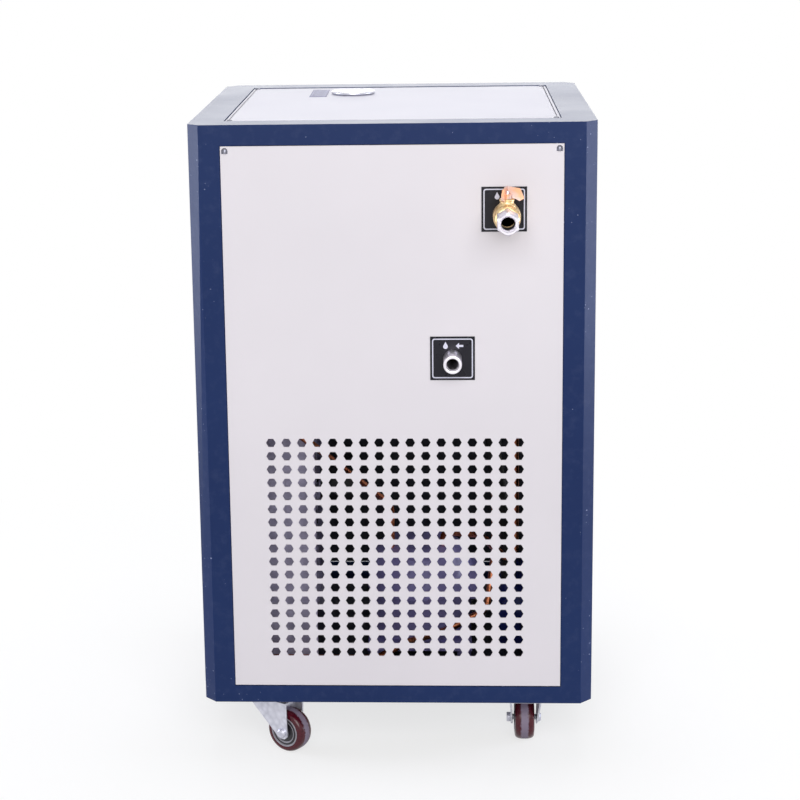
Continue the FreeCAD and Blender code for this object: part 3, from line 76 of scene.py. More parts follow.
# ---------------------------------------------------------------- colours and shader building blocks


def srgb(red, green, blue):
    """A display colour of 0 to 255 as the linear colour that a shader wants."""
    def linear(level):
        level = level / 255.0
        return level / 12.92 if level <= 0.04045 else ((level + 0.055) / 1.055) ** 2.4
    return (linear(red), linear(green), linear(blue), 1.0)


class Finish:
    """One surface finish: a Principled shader and the nodes that vary it."""

    def __init__(self, name, colour, roughness=0.5, metallic=0.0, **sockets):
        self.name = name
        self.material = bpy.data.materials.new(name)
        self.material.use_nodes = True
        self.tree = self.material.node_tree
        self.shader = self.tree.nodes["Principled BSDF"]
        self.shader.inputs["Base Color"].default_value = colour
        self.shader.inputs["Roughness"].default_value = roughness
        self.shader.inputs["Metallic"].default_value = metallic
        for socket, value in sockets.items():
            self.shader.inputs[socket.replace("_", " ")].default_value = value
        self.material.diffuse_color = colour
        self.place = self.add("ShaderNodeTexCoord").outputs["Object"]
        self.relief = None

    def add(self, kind, **settings):
        node = self.tree.nodes.new(kind)
        for key, value in settings.items():
            setattr(node, key, value)
        return node

    def wire(self, source, node, socket):
        """Link an output, or set a plain number."""
        if isinstance(source, (int, float, tuple)):
            node.inputs[socket].default_value = source
        else:
            self.tree.links.new(source, node.inputs[socket])

    def drawn(self, x, y, z):
        """Object coordinates scaled by axis, for grain that runs one way."""
        mapping = self.add("ShaderNodeMapping")
        self.wire(self.place, mapping, "Vector")
        mapping.inputs["Scale"].default_value = (x, y, z)
        return mapping.outputs["Vector"]

    def noise(self, scale, detail=2.0, rough=0.5, along=None):
        node = self.add("ShaderNodeTexNoise")
        self.wire(along or self.place, node, "Vector")
        for socket, value in (("Scale", scale), ("Detail", detail), ("Roughness", rough)):
            node.inputs[socket].default_value = value
        return node.outputs["Fac"]

    def cells(self, scale):
        node = self.add("ShaderNodeTexVoronoi")
        self.wire(self.place, node, "Vector")
        node.inputs["Scale"].default_value = scale
        return node.outputs["Distance"]

    def band(self, source, low, high, out_low=0.0, out_high=1.0):
        """Map a stretch of a value to another stretch, clamped."""
        node = self.add("ShaderNodeMapRange")
        self.wire(source, node, "Value")
        for socket, value in (("From Min", low), ("From Max", high), ("To Min", out_low), ("To Max", out_high)):
            node.inputs[socket].default_value = value
        return node.outputs["Result"]

    def combine(self, operation, first, second):
        node = self.add("ShaderNodeMath", operation=operation, use_clamp=True)
        self.wire(first, node, 0)
        self.wire(second, node, 1)
        return node.outputs["Value"]

    def blend(self, factor, first, second):
        """Mix two colours, each a tuple or another node's output."""
        node = self.add("ShaderNodeMix", data_type="RGBA")
        self.wire(factor, node, "Factor")
        self.wire(first, node, 6)
        self.wire(second, node, 7)
        return node.outputs[2]

    def colour(self, source):
        self.wire(source, self.shader, "Base Color")
        return self

    def gloss(self, source, low, high):
        """Roughness between two values, by the middle of a noise."""
        self.wire(self.band(source, 0.3, 0.7, low, high), self.shader, "Roughness")
        return self

    def bump(self, source, strength, distance):
        node = self.add("ShaderNodeBump")
        node.inputs["Strength"].default_value = strength
        node.inputs["Distance"].default_value = distance
        self.wire(source, node, "Height")
        if self.relief:
            self.wire(self.relief, node, "Normal")
        self.relief = node.outputs["Normal"]
        self.wire(self.relief, self.shader, "Normal")
        return self


# ---------------------------------------------------------------- finishes


def powder_coat(name, colour, darker, rough, chips=None, **sockets):
    """Powder coat: faint cloudiness, orange peel and, where worn, pale chips."""
    f = Finish(name, colour, rough, **sockets)
    tone = f.blend(f.band(f.noise(3.5, 3), 0.35, 0.65), darker, colour)
    if chips:
        speck = f.band(f.noise(260, 1), 0.745, 0.765)
        worn = f.band(f.noise(14, 2), 0.5, 0.6)
        tone = f.blend(f.combine("MULTIPLY", speck, worn), tone, chips)
        dust = f.band(f.noise(60, 6, 0.7), 0.5, 0.8, 0.0, 0.05)
        tone = f.blend(dust, tone, chips)
    f.colour(tone)
    f.gloss(f.noise(9, 4), rough - 0.02, rough + 0.03)
    return f.bump(f.noise(1400, 1), 0.05, 0.0002)


def navy_powder():
    return powder_coat("navy_powder", srgb(24, 45, 91), srgb(21, 41, 86), 0.34, srgb(150, 160, 196),
                       Specular_IOR_Level=0.18)


def zinc_plate():
    """Galvanised steel with soft spangle and handling smears."""
    f = Finish("zinc", srgb(200, 200, 210), 0.4, 0.7)
    spangle = f.band(f.cells(120), 0.0, 0.9)
    smear = f.noise(42, 5, 0.65)
    f.colour(f.blend(f.combine("MULTIPLY", spangle, smear), srgb(220, 220, 230), srgb(150, 150, 164)))
    f.gloss(smear, 0.3, 0.5)
    return f.bump(smear, 0.06, 0.0005)


def shroud_plate():
    f = Finish("shroud_zinc", srgb(196, 190, 218), 0.5, 0.2)
    return f.colour(f.blend(f.band(f.cells(60), 0, 1), srgb(212, 206, 232), srgb(172, 166, 194)))


def brushed(name, colour, low, high, along, **sockets):
    """Steel with fine grain along one axis."""
    f = Finish(name, colour, low, 1.0, **sockets)
    grain = f.noise(1.0, 3, 0.6, f.drawn(*along))
    f.gloss(grain, low, high)
    return f.bump(grain, 0.05, 0.0001)


def forged_brass():
    f = Finish("brass", srgb(226, 196, 138), 0.3, 1.0)
    tarnish = f.band(f.noise(70, 4, 0.6), 0.42, 0.68)
    f.colour(f.blend(tarnish, srgb(226, 200, 152), srgb(184, 148, 98)))
    f.gloss(f.noise(160, 3), 0.3, 0.46)
    return f.bump(f.noise(900, 2), 0.1, 0.0004)


def passivated_handle():
    """Yellow-pink passivated zinc of the butterfly handle."""
    f = Finish("handle_plate", srgb(226, 180, 146), 0.36, 0.75)
    f.colour(f.blend(f.band(f.noise(60, 2), 0.4, 0.62), srgb(232, 172, 132), srgb(214, 186, 178)))
    f.gloss(f.noise(90, 3), 0.3, 0.45)
    return f.bump(f.noise(500, 2), 0.12, 0.0004)


def label_plates():
    black = Finish("label_black", srgb(24, 23, 32), 0.3, Specular_IOR_Level=0.25)
    black.gloss(black.noise(60, 4), 0.24, 0.38).bump(black.noise(700, 1), 0.03, 0.0002)
    ink = Finish("label_ink", srgb(206, 206, 224), 0.5)
    ink.colour(ink.blend(ink.noise(400, 2), srgb(196, 196, 216), srgb(224, 224, 236)))
    rating = Finish("rating_grey", srgb(140, 140, 172), 0.5, Specular_IOR_Level=0.3)
    rating.colour(rating.blend(rating.noise(160, 3), srgb(146, 146, 178), srgb(128, 128, 160)))
    rating_ink = Finish("rating_ink", srgb(70, 70, 96), 0.5)
    rating_ink.colour(rating_ink.blend(rating_ink.noise(300, 2), srgb(64, 64, 90), srgb(82, 82, 108)))
    return [black, ink, rating, rating_ink]


def plastics():
    black = Finish("black_plastic", srgb(30, 30, 33), 0.42)
    black.gloss(black.noise(30, 3), 0.36, 0.52).bump(black.noise(1100, 2), 0.12, 0.0003)
    green = Finish("switch_green", srgb(24, 120, 52), 0.22, Coat_Weight=0.4, Coat_Roughness=0.08)
    green.colour(green.blend(green.noise(120, 2), srgb(22, 112, 48), srgb(30, 134, 62)))
    foam = Finish("foam", srgb(34, 34, 37), 0.9)
    foam.bump(foam.cells(380), 0.3, 0.0006)
    key = Finish("key_grey", srgb(176, 182, 196), 0.5)
    key.colour(key.blend(key.noise(200, 2), srgb(170, 176, 190), srgb(184, 190, 204)))
    glass = Finish("dark_glass", srgb(16, 18, 22), 0.06, Coat_Weight=0.5)
    glass.gloss(glass.noise(20, 3), 0.04, 0.12)
    digit = Finish("digit_red", srgb(255, 70, 40), 0.4, Emission_Color=srgb(255, 60, 34), Emission_Strength=0.9)
    return [black, green, foam, key, glass, digit]


def copper_tube():
    f = Finish("copper", srgb(214, 130, 92), 0.32, 1.0)
    aged = f.band(f.noise(50, 4, 0.6), 0.4, 0.7)
    f.colour(f.blend(aged, srgb(226, 142, 102), srgb(140, 70, 44)))
    return f.gloss(f.noise(60, 3), 0.24, 0.46)


def rubber():
    f = Finish("rubber_hose", srgb(30, 30, 32), 0.6)
    return f.bump(f.noise(600, 2), 0.12, 0.0004)


def fin_stock():
    f = Finish("fins", srgb(178, 178, 186), 0.4, 0.9)
    return f.gloss(f.noise(220, 2), 0.3, 0.5)


def wheel_plastics():
    grey = Finish("core_grey", srgb(150, 147, 154), 0.35)
    grey.colour(grey.blend(grey.noise(90, 3), srgb(160, 157, 164), srgb(134, 131, 139)))
    black = Finish("core_black", srgb(34, 32, 37), 0.32)
    black.gloss(black.noise(90, 3), 0.26, 0.42)
    return [grey, black]


def tread_rubber():
    """Maroon polyurethane, dusty in the band that rolls on the floor."""
    f = Finish("tread_red", srgb(78, 12, 28), 0.26, Specular_IOR_Level=0.35)
    across = f.add("ShaderNodeAttribute", attribute_name="across").outputs["Fac"]
    speckle = f.noise(260, 4, 0.7)
    edge = f.combine("ADD", across, f.band(speckle, 0.3, 0.7, -0.1, 0.1))
    band = f.band(edge, 0.3, 0.44, 0.8, 0.0)
    dirt = f.band(f.noise(520, 3, 0.6), 0.5, 0.64, 0.0, 0.75)
    maroon = f.blend(dirt, srgb(80, 14, 30), srgb(24, 6, 12))
    f.colour(f.blend(band, maroon, srgb(146, 136, 156)))
    f.wire(f.band(band, 0.0, 0.8, 0.24, 0.62), f.shader, "Roughness")
    return f.bump(speckle, 0.12, 0.0004)


def make_finishes():
    """Every finish by name: one for each slot of the record, and a few for small details."""
    made = [
        navy_powder(),
        powder_coat("panel_paint", srgb(228, 223, 228), srgb(224, 219, 224), 0.45),
        powder_coat("cover_paint", srgb(230, 229, 239), srgb(226, 225, 236), 0.55, Specular_IOR_Level=0.12),
        powder_coat("tray_paint", srgb(58, 60, 70), srgb(42, 44, 52), 0.5),
        powder_coat("compressor_paint", srgb(172, 164, 224), srgb(150, 142, 204), 0.34, Coat_Weight=0.3),
        powder_coat("pump_blue", srgb(32, 44, 128), srgb(24, 34, 106), 0.3),
        zinc_plate(),
        shroud_plate(),
        brushed("screw_steel", srgb(112, 112, 122), 0.25, 0.42, (300, 300, 300)),
        brushed("stainless", srgb(206, 206, 214), 0.2, 0.38, (30, 1500, 1500)),
        brushed("machined_steel", srgb(232, 228, 236), 0.26, 0.42, (60, 2600, 60)),
        forged_brass(),
        passivated_handle(),
        copper_tube(),
        rubber(),
        fin_stock(),
        tread_rubber(),
    ]
    made += label_plates() + plastics() + wheel_plastics()
    # painted shade: near-black finish for the sunk screw crosses, in place of the screw's own steel
    dark = Finish("painted_recess_shade", srgb(26, 26, 32), 0.7)
    dark.gloss(dark.noise(200, 2), 0.6, 0.8)
    made.append(dark)
    return {f.name: f.material for f in made}


FINISHES = make_finishes()

# ---------------------------------------------------------------- mesh building blocks


def centre(node):
    low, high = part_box(node)
    return (low + high) / 2


def paint(piece, *names):
    """Give a piece its finishes, in the order of its material indexes."""
    if piece.data.materials:
        piece.data.materials.clear()
    for name in names:
        piece.data.materials.append(FINISHES[name])


def shade(piece, degrees=32):
    """Smooth shading that stays sharp at folds."""
    piece.data.polygons.foreach_set("use_smooth", [True] * len(piece.data.polygons))
    piece.data.set_sharp_from_angle(angle=math.radians(degrees))


def to_piece(bm, name, body, finishes, stands_for=(), smooth=32):
    """Turn a bmesh into a piece that rides on a body and takes its finish from a slot."""
    mesh = bpy.data.meshes.new(name)
    bm.to_mesh(mesh)
    bm.free()
    piece = bpy.data.objects.new(name, mesh)
    SCENE.collection.objects.link(piece)
    paint(piece, *finishes)
    if smooth:
        shade(piece, smooth)
    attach(piece, body)
    if stands_for:
        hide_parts(*stands_for)
    return piece


def close_up(bm):
    """Merge doubles and point every face outwards."""
    bmesh.ops.remove_doubles(bm, verts=bm.verts, dist=SAME_PLACE)
    bmesh.ops.recalc_face_normals(bm, faces=bm.faces)


def merged_copy(node):
    """A CAD node's mesh with its loose triangles joined."""
    bm = bmesh.new()
    bm.from_mesh(NODES[node].data)
    bmesh.ops.remove_doubles(bm, verts=bm.verts, dist=SAME_PLACE)
    return bm


def mark_folds(bm, degrees, plain_levels):
    """Weight the folded edges for a bevel, but none that lie in a plain level."""
    weight = bm.edges.layers.float.new("bevel_weight_edge")
    for edge in bm.edges:
        if len(edge.link_faces) != 2 or edge.calc_face_angle(0) < math.radians(degrees):
            continue
        in_seam = any(all(abs(v.co.z - level) < 1e-5 for v in edge.verts) for level in plain_levels)
        edge[weight] = 0.0 if in_seam else 1.0


def soften(node, width, finish=None, segments=2, plain_levels=(), flat=False, shape=None):
    """Stand for a CAD node with the same shape and rounded edges."""
    bm = merged_copy(node)
    if shape:
        shape(bm)
    mark_folds(bm, 30, plain_levels)
    slot = SLOTS[node]
    piece = to_piece(bm, node + "_rounded", NODES[node]["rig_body"], [finish or slot], [node],
                     smooth=0 if flat else 32)
    if width:
        bevel = piece.modifiers.new("rounded", "BEVEL")
        bevel.width = width
        bevel.segments = segments
        bevel.limit_method = "WEIGHT"
    return piece


def laid(origin, axis, hint=UP):
    """A transform whose local +Z lies along an axis; local +Y is near the hint."""
    z = Vector(axis).normalized()
    x = Vector(hint).cross(z).normalized()
    turn = Matrix((x, z.cross(x), z)).transposed().to_4x4()
    return Matrix.Translation(Vector(origin)) @ turn


def lathe(bm, outline, transform, steps=48, index=0):
    """Spin (radius, level) points, in millimetres, about the transform's local Z."""
    old = set(bm.faces)
    ring = [bm.verts.new(transform @ Vector((radius * MM, 0, level * MM))) for radius, level in outline]
    edges = [bm.edges.new(pair) for pair in zip(ring, ring[1:])]
    axis = transform.to_3x3() @ UP
    bmesh.ops.spin(bm, geom=ring + edges, cent=transform.translation, axis=axis, angle=math.tau,
                   steps=steps, use_merge=True)
    fresh = [face for face in bm.faces if face not in old]
    for face in fresh:
        face.material_index = index
    return fresh


def index_new_faces(bm, old, index):
    """Give every face that isn't among the old ones a material index."""
    for face in bm.faces:
        if face not in old:
            face.material_index = index


def shift(bm, geometry, transform, depth):
    """Move the vertices of an extrusion along the transform's local Z, in millimetres."""
    moved = [item for item in geometry if isinstance(item, bmesh.types.BMVert)]
    bmesh.ops.translate(bm, verts=moved, vec=transform.to_3x3() @ Vector((0, 0, depth * MM)))
    return moved


def prism(bm, corners, transform, depth, index=0):
    """Extrude a flat outline of (x, y) millimetres along the transform's local Z."""
    old = set(bm.faces)
    flat = bm.faces.new([bm.verts.new(transform @ Vector((x * MM, y * MM, 0))) for x, y in corners])
    shift(bm, bmesh.ops.extrude_face_region(bm, geom=[flat], use_keep_orig=True)["geom"], transform, depth)
    index_new_faces(bm, old, index)


def block(bm, x, y, transform, low, high, index=0):
    """A bar between two (low, high) spans and two levels, in millimetres."""
    base = transform @ Matrix.Translation(Vector((0, 0, low * MM)))
    prism(bm, [(x[0], y[0]), (x[1], y[0]), (x[1], y[1]), (x[0], y[1])], base, high - low, index)


def ring_plate(bm, outer, inner, transform, depth, index=0):
    """A flat ring or frame between two outlines with the same number of corners."""
    old = set(bm.faces)
    loops = []
    for corners in (outer, inner):
        verts = [bm.verts.new(transform @ Vector((x * MM, y * MM, 0))) for x, y in corners]
        loops += [bm.edges.new(pair) for pair in zip(verts, verts[1:] + verts[:1])]
    faces = bmesh.ops.bridge_loops(bm, edges=loops)["faces"]
    shift(bm, bmesh.ops.extrude_face_region(bm, geom=faces, use_keep_orig=True)["geom"], transform, depth)
    index_new_faces(bm, old, index)


def rounded_rectangle(width, height, radius, steps=5):
    """Corners of a rectangle with rounded corners, about its middle."""
    points = []
    for quarter in range(4):
        sx, sy = ((1, 1), (-1, 1), (-1, -1), (1, -1))[quarter]
        middle = (sx * (width / 2 - radius), sy * (height / 2 - radius))
        for step in range(steps + 1):
            angle = math.radians(90 * (quarter + step / steps))
            points.append((middle[0] + radius * math.cos(angle), middle[1] + radius * math.sin(angle)))
    return points


def circle_points(radius, count, start=0.0):
    turn = math.tau / count
    return [(radius * math.cos(start + turn * i), radius * math.sin(start + turn * i)) for i in range(count)]


def islands(node):
    """The separate solids of a node as (low, high) corners."""
    bm = merged_copy(node)
    left, found = set(bm.verts), []
    while left:
        edge_of_search, group = [left.pop()], []
        while edge_of_search:
            vert = edge_of_search.pop()
            group.append(vert.co.copy())
            for edge in vert.link_edges:
                other = edge.other_vert(vert)
                if other in left:
                    left.discard(other)
                    edge_of_search.append(other)
        found.append((Vector(map(min, *group)), Vector(map(max, *group))))
    bm.free()
    return found


# ---------------------------------------------------------------- cabinet


def dress_nodes():
    """Every node of the frame starts with the finish of its slot."""
    for name, node in NODES.items():
        paint(node, SLOTS[name])
    paint(NODES["top_cover"], "cover_paint")


def cabinet_shell():
    """Folded sheet parts with the small radii of a press brake."""
    post_foot, post_head = (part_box("post_rear_left")[end].z for end in (0, 1))
    for corner in CORNERS:
        soften("post_" + corner, 0.0012, segments=3, plain_levels=(post_foot, post_head), flat=True)
    soften("top_frame", 0.0012, segments=3, plain_levels=(post_head,), flat=True)
    soften("base_frame", 0.0012, segments=3, plain_levels=(post_foot,), flat=True)
    # the inward faces of these panels get painted shade instead of their own paint
    for name, inward in (("left_panel", (1, 0, 0)), ("right_panel", (-1, 0, 0)), ("front_panel", (0, -1, 0))):
        paint_inner_shade(soften(name, 0, flat=True), Vector(inward))
    soften("top_cover", 0.0006, "cover_paint", flat=True)


def paint_inner_shade(piece, inward):
    """Give the faces that look into the cabinet the dark grey tray finish, as painted shade of the space behind
    the panels.
    """
    # painted shade: inward faces take the dark tray_paint finish in place of the panel's own paint
    piece.data.materials.append(FINISHES["tray_paint"])
    for face in piece.data.polygons:
        if face.normal.dot(inward) > 0.9:
            face.material_index = 1


def cross_recess(bm, rim, radius, level, depth, place, index):
    """Close a screw head with a sunk cross; the shares of its radius repeat in each quarter."""
    reach = (1.0, 0.92, 0.42, 0.34, 0.42, 0.92)
    steps = 4 * len(reach)
    verts = []
    for step in range(steps):
        angle = math.tau * step / steps
        arm = radius * reach[step % len(reach)] * MM
        verts.append(bm.verts.new(place @ Vector((arm * math.cos(angle), arm * math.sin(angle), level * MM))))
    star = [bm.edges.new(pair) for pair in zip(verts, verts[1:] + verts[:1])]
    bmesh.ops.bridge_loops(bm, edges=rim + star)
    old = set(bm.faces)
    sunk = bmesh.ops.extrude_edge_only(bm, edges=star)["geom"]
    lowered = shift(bm, sunk, place, -depth)
    bmesh.ops.edgeloop_fill(bm, edges=[item for item in sunk if isinstance(item, bmesh.types.BMEdge)
                                       and all(vert in lowered for vert in item.verts)])
    index_new_faces(bm, old, index)


def screw_head(bm, radius, height, place):
    """A domed pan head with a cross recess, seated at its transform."""
    outline = [(0, 0), (radius, 0), (radius, 0.35 * height), (0.92 * radius, 0.7 * height),
               (0.75 * radius, 0.92 * height), (0.6 * radius, height)]
    head = lathe(bm, outline, place, steps=24)
    top = place @ Vector((0, 0, height * MM))
    axis = place.to_3x3() @ UP
    rim = [edge for edge in {e for face in head for e in face.edges}
           if all(abs((vert.co - top).dot(axis)) < SAME_PLACE for vert in edge.verts)]
    # material index 1 is the painted shade inside the sunk cross
    cross_recess(bm, rim, 0.52 * radius, height, 0.6 * height, place, 1)


def screws():
    """One piece for all the equal panel screws, from where the frame holds them."""
    bm = bmesh.new()
    cabinet_middle = centre("top_cover")
    for low, high in islands("panel_screws"):
        size = high - low
        thin = min(range(3), key=lambda axis: size[axis])
        outward = Vector((0, 0, 0))
        outward[thin] = 1 if thin == 2 or (low + high)[thin] / 2 > cabinet_middle[thin] else -1
        seat = (low + high) / 2 - outward * size[thin] / 2
        head = max(size) / 2 / MM
        screw_head(bm, head, size[thin] / MM, laid(seat, outward, (0.3, 0.5, 0.8)))
    close_up(bm)
    # the second finish is painted shade in the screw crosses
    to_piece(bm, "panel_screw_heads", "cabinet", ["screw_steel", "painted_recess_shade"],
             ["panel_screws"], smooth=40)


# ---------------------------------------------------------------- labels


PORT_PRINT_HEIGHT = 0.14
RATING_PRINT_HEIGHT = 0.06
SIGN_OFFSET = 9.5


def drop_sign(size):
    """Outline of a water drop, point upwards."""
    points = [(0, size * 0.62)]
    for step in range(13):
        angle = math.radians(30 - 240 * step / 12)
        points.append((size * 0.34 * math.cos(angle), size * (-0.1 + 0.34 * math.sin(angle))))
    return points


def arrow_sign(size, inward):
    """Outline of an arrow that points out of the cabinet or into it."""
    side = -1 if inward else 1
    shape = [(-0.5, 0.14), (0.05, 0.14), (0.05, 0.42), (0.5, 0), (0.05, -0.42), (0.05, -0.14), (-0.5, -0.14)]
    points = [(side * x * size, y * size) for x, y in shape]
    return points[::-1] if inward else points


def port_label(plate, inward):
    """Printed frame and two plain signs on a square label plate."""
    soften(plate, 0.0003, segments=2)
    low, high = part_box(plate)
    face = laid(((low.x + high.x) / 2, low.y, (low.z + high.z) / 2), OUTWARD)
    side = (high.x - low.x) / MM
    bm = bmesh.new()
    line_out, line_in = side - 5.4, side - 8.6
    ring_plate(bm, rounded_rectangle(line_out, line_out, 3.4), rounded_rectangle(line_in, line_in, 2.2), face,
               PORT_PRINT_HEIGHT)
    sign_height = side / 2 - 13
    for x, sign in ((-SIGN_OFFSET, drop_sign(9.5)), (SIGN_OFFSET, arrow_sign(10.5, inward))):
        prism(bm, sign, face @ Matrix.Translation(Vector((x, sign_height, 0)) * MM), PORT_PRINT_HEIGHT)
    close_up(bm)
    to_piece(bm, plate + "_print", "cabinet", ["label_ink"])


def rating_plate():
    """Small grey label on the cover with rows of plain bars."""
    soften("rating_label", 0.0002, flat=True)
    low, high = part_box("rating_label")
    face = laid(((low.x + high.x) / 2, (low.y + high.y) / 2, high.z), UP, (0, 1, 0))
    wide, tall = (high.x - low.x) / MM, (high.y - low.y) / MM
    bm = bmesh.new()
    ring_plate(bm, rounded_rectangle(wide - 2, tall - 2, 1), rounded_rectangle(wide - 3, tall - 3, 0.6), face,
               RATING_PRINT_HEIGHT)
    rows = 9
    for row in range(rows):
        y = tall / 2 - 9 - row * (tall - 18) / (rows - 1)
        split = (0.36, 0.3, 0.42, 0.33, 0.38)[row % 5] * wide
        for x0, x1 in ((-wide / 2 + 3.4, -wide / 2 + split), (-wide / 2 + split + 1.6, wide / 2 - 4 - row % 3)):
            block(bm, (x0, x1), (y - 0.9, y + 0.9), face, 0, RATING_PRINT_HEIGHT)
    close_up(bm)
    to_piece(bm, "rating_print", "cabinet", ["rating_ink"])


# ---------------------------------------------------------------- water ports


def ball_valve():
    """Forged body with two collars and a packing boss, from the rear collar outwards."""
    low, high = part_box("valve_body")
    stem = Vector(JOINTS["valve_turn"]["pos_m"])
    start = high.y
    reach = (start - low.y) / MM
    axis_height = stem.z
    bore = laid((stem.x, start, axis_height), OUTWARD)
    belly = (high.x - low.x) / 2 / MM
    bm = bmesh.new()
    lathe(bm, [(10.6, 0), (14.9, 0), (14.9, 10.6), (14.2, 11.4), (14.0, 13), (15.6, 15), (17.4, 16.4),
               (belly, 18.6), (belly, 35), (17.8, 37), (16.4, 38.4), (16.4, 40), (17.0, 40.6), (17.6, 41.6),
               (17.6, 49), (16.9, 51), (15.6, 53), (14.6, reach), (10, reach), (10, reach - 6), (10.4, reach - 8),
               (10.6, 6), (10.6, 0)], bore, steps=64)
    close_up(bm)
    prism(bm, circle_points(16.2, 6, math.radians(30)), bore @ Matrix.Translation((0, 0, 0.8 * MM)), 9.4)
    hexagon_rim = [edge for edge in bm.edges if len(edge.link_faces) == 2 and edge.calc_face_angle(0) > 0.9
                   and all(len(vert.link_edges) == 3 for vert in edge.verts)]
    bmesh.ops.bevel(bm, geom=hexagon_rim, offset=0.7 * MM, segments=2, profile=0.5, affect="EDGES", material=-1)
    neck = laid((stem.x, stem.y, axis_height), UP, (0, 1, 0))
    top = (high.z - axis_height) / MM
    lathe(bm, [(0, 8), (12.8, 8), (12.4, 14), (11.2, 16.6), (9.8, 18.2), (9.3, 19.4), (9.3, top - 3.4),
               (10.2, top - 2.6), (10.2, top - 0.9), (9.4, top), (0, top)], neck, steps=48)
    lathe(bm, [(0, 9.0), (1.7, 9.0), (1.7, 9.4), (1.1, 9.5), (0.9, 9.1), (0, 9.1)],
          laid((stem.x, stem.y, axis_height + (top - 4.6) * MM), OUTWARD), steps=16)
    close_up(bm)
    to_piece(bm, "ball_valve_body", "cabinet", ["brass"], ["valve_body"], smooth=38)


def valve_lever():
    """Stem with its nut, and the butterfly handle."""
    soften("valve_handle", 0.0009, segments=3)
    soften("valve_stem", 0.0004)


def at_level(edges, back, level):
    """The edges that lie at a level, in millimetres, of the transform that 'back' inverts."""
    return [edge for edge in edges
            if all(abs((back @ vert.co).z - level * MM) < SAME_PLACE for vert in edge.verts)]


def outlet_piece():
    """Steel hexagon sleeve with a bright cone and a threaded mouth."""
    low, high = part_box("outlet_end")
    stem = Vector(JOINTS["valve_turn"]["pos_m"])
    length = (high.y - low.y) / MM
    across_points = (high.z - low.z) / 2 / MM
    place = laid((stem.x, high.y, stem.z), OUTWARD)
    back = place.inverted()
    front = length - 2.6
    bm = bmesh.new()
    prism(bm, circle_points(across_points, 6, math.radians(90)), place, front)
    ends = [face for face in bm.faces if abs(face.normal.dot(OUTWARD)) > 0.9]
    bmesh.ops.delete(bm, geom=ends, context="FACES_ONLY")
    flat = across_points * math.cos(math.radians(30))
    loops = [edge for edge in bm.edges if edge.is_boundary]
    outer_front = at_level(loops, back, front)
    outer_rear = [edge for edge in loops if edge not in outer_front]
    for loop in (outer_front, outer_rear):
        bmesh.ops.subdivide_edges(bm, edges=loop, cuts=7)
    bore = lathe(bm, [(flat - 0.8, length), (flat - 1.6, length), (10.9, length - 0.7), (10.2, length - 1.8)]
                 + thread_outline(10.2, 9.5, length - 3, 8, 1.4) + [(10.2, 6), (10.2, 0)], place, steps=48)
    edges = {edge for face in bore for edge in face.edges if edge.is_boundary}
    for outer_level, inner in ((front, at_level(edges, back, length)), (0, at_level(edges, back, 0))):
        outer = at_level([edge for edge in bm.edges if edge.is_boundary and edge not in inner], back, outer_level)
        bmesh.ops.bridge_loops(bm, edges=outer + inner)
    close_up(bm)
    to_piece(bm, "outlet_sleeve", "cabinet", ["machined_steel"], ["outlet_end"], smooth=28)


def thread_outline(major, minor, start, turns, pitch):
    """Outline points of thread turns as rings, going down from a level."""
    points = []
    for turn in range(turns):
        level = start - turn * pitch
        points += [(major, level), (minor, level - pitch * 0.42), (minor, level - pitch * 0.58)]
    return points


def inlet_stub():
    """Turned steel stub with a rounded lip and a thread cut inside."""
    low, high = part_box("inlet_nipple")
    middle = centre("inlet_nipple")
    plate_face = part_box("inlet_plate")[0].y
    radius = (high.x - low.x) / 2 / MM
    length = (high.y - low.y) / MM
    free = (plate_face - low.y) / MM
    place = laid((middle.x, low.y, middle.z), (0, 1, 0))
    bm = bmesh.new()
    lathe(bm, [(8.9, 0.5), (9.5, 0.1), (radius - 1.2, 0), (radius - 0.35, 0.4), (radius, 1.3),
               (radius, free - 1.2), (radius - 0.4, free - 0.8), (11.8, free - 0.6), (11.8, free + 12),
               (10.3, free + 12.6), (10.3, length), (7.6, length), (7.6, 12)]
          + [(r, 12 - (level - 3)) for r, level in thread_outline(8.9, 8.2, 11, 6, 1.5)]
          + [(8.7, 1.2), (8.9, 0.5)], place, steps=64)
    close_up(bm)
    to_piece(bm, "inlet_stub", "cabinet", ["machined_steel"], ["inlet_nipple"], smooth=35)


# ---------------------------------------------------------------- filler


def filler_cap():
    """Pressed steel cap with a rolled rim, a shallow dish and a low middle."""
    low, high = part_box("fill_cap")
    middle = centre("fill_cap")
    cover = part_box("top_cover")[1].z
    neck_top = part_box("fill_neck")[1].z
    place = laid((middle.x, middle.y, cover), UP, (0, 1, 0))
    rim = (high.x - low.x) / 2 / MM
    seat = (neck_top - cover) / MM + 0.1
    plug = plug_radius()
    foot = (low.z - cover) / MM
    bm = bmesh.new()
    lathe(bm, [(0, foot), (plug - 1, foot), (plug, foot + 1), (plug, seat), (rim - 1.2, seat),
               (rim - 0.3, seat + 0.5), (rim, seat + 1.4), (rim - 0.2, seat + 3.0), (rim - 1.0, seat + 4.0),
               (rim - 2.4, seat + 4.5), (rim - 4.0, seat + 4.4), (rim - 5.6, seat + 3.6), (rim - 7.4, seat + 3.0),
               (rim - 13, seat + 3.2), (14, seat + 4.2), (11, seat + 5.2), (8.5, seat + 5.6), (6.5, seat + 5.4),
               (4, seat + 4.9), (0, seat + 4.6)], place, steps=96)
    close_up(bm)
    to_piece(bm, "filler_cap_crown", "filler_cap", ["stainless"], ["fill_cap"], smooth=50)


def plug_radius():
    """Radius of the plug that goes down into the filling neck."""
    middle = centre("fill_cap")
    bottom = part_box("fill_cap")[0].z
    bm = merged_copy("fill_cap")
    reach = [(vert.co - middle).to_2d().length for vert in bm.verts if vert.co.z < bottom + 2 * MM]
    bm.free()
    return max(reach) / MM


# ---------------------------------------------------------------- castors


def mirrored(half):
    """A closed outline from one half of it, mirrored across level zero."""
    whole = half + [(radius, -level) for radius, level in reversed(half)]
    return whole + whole[:1]


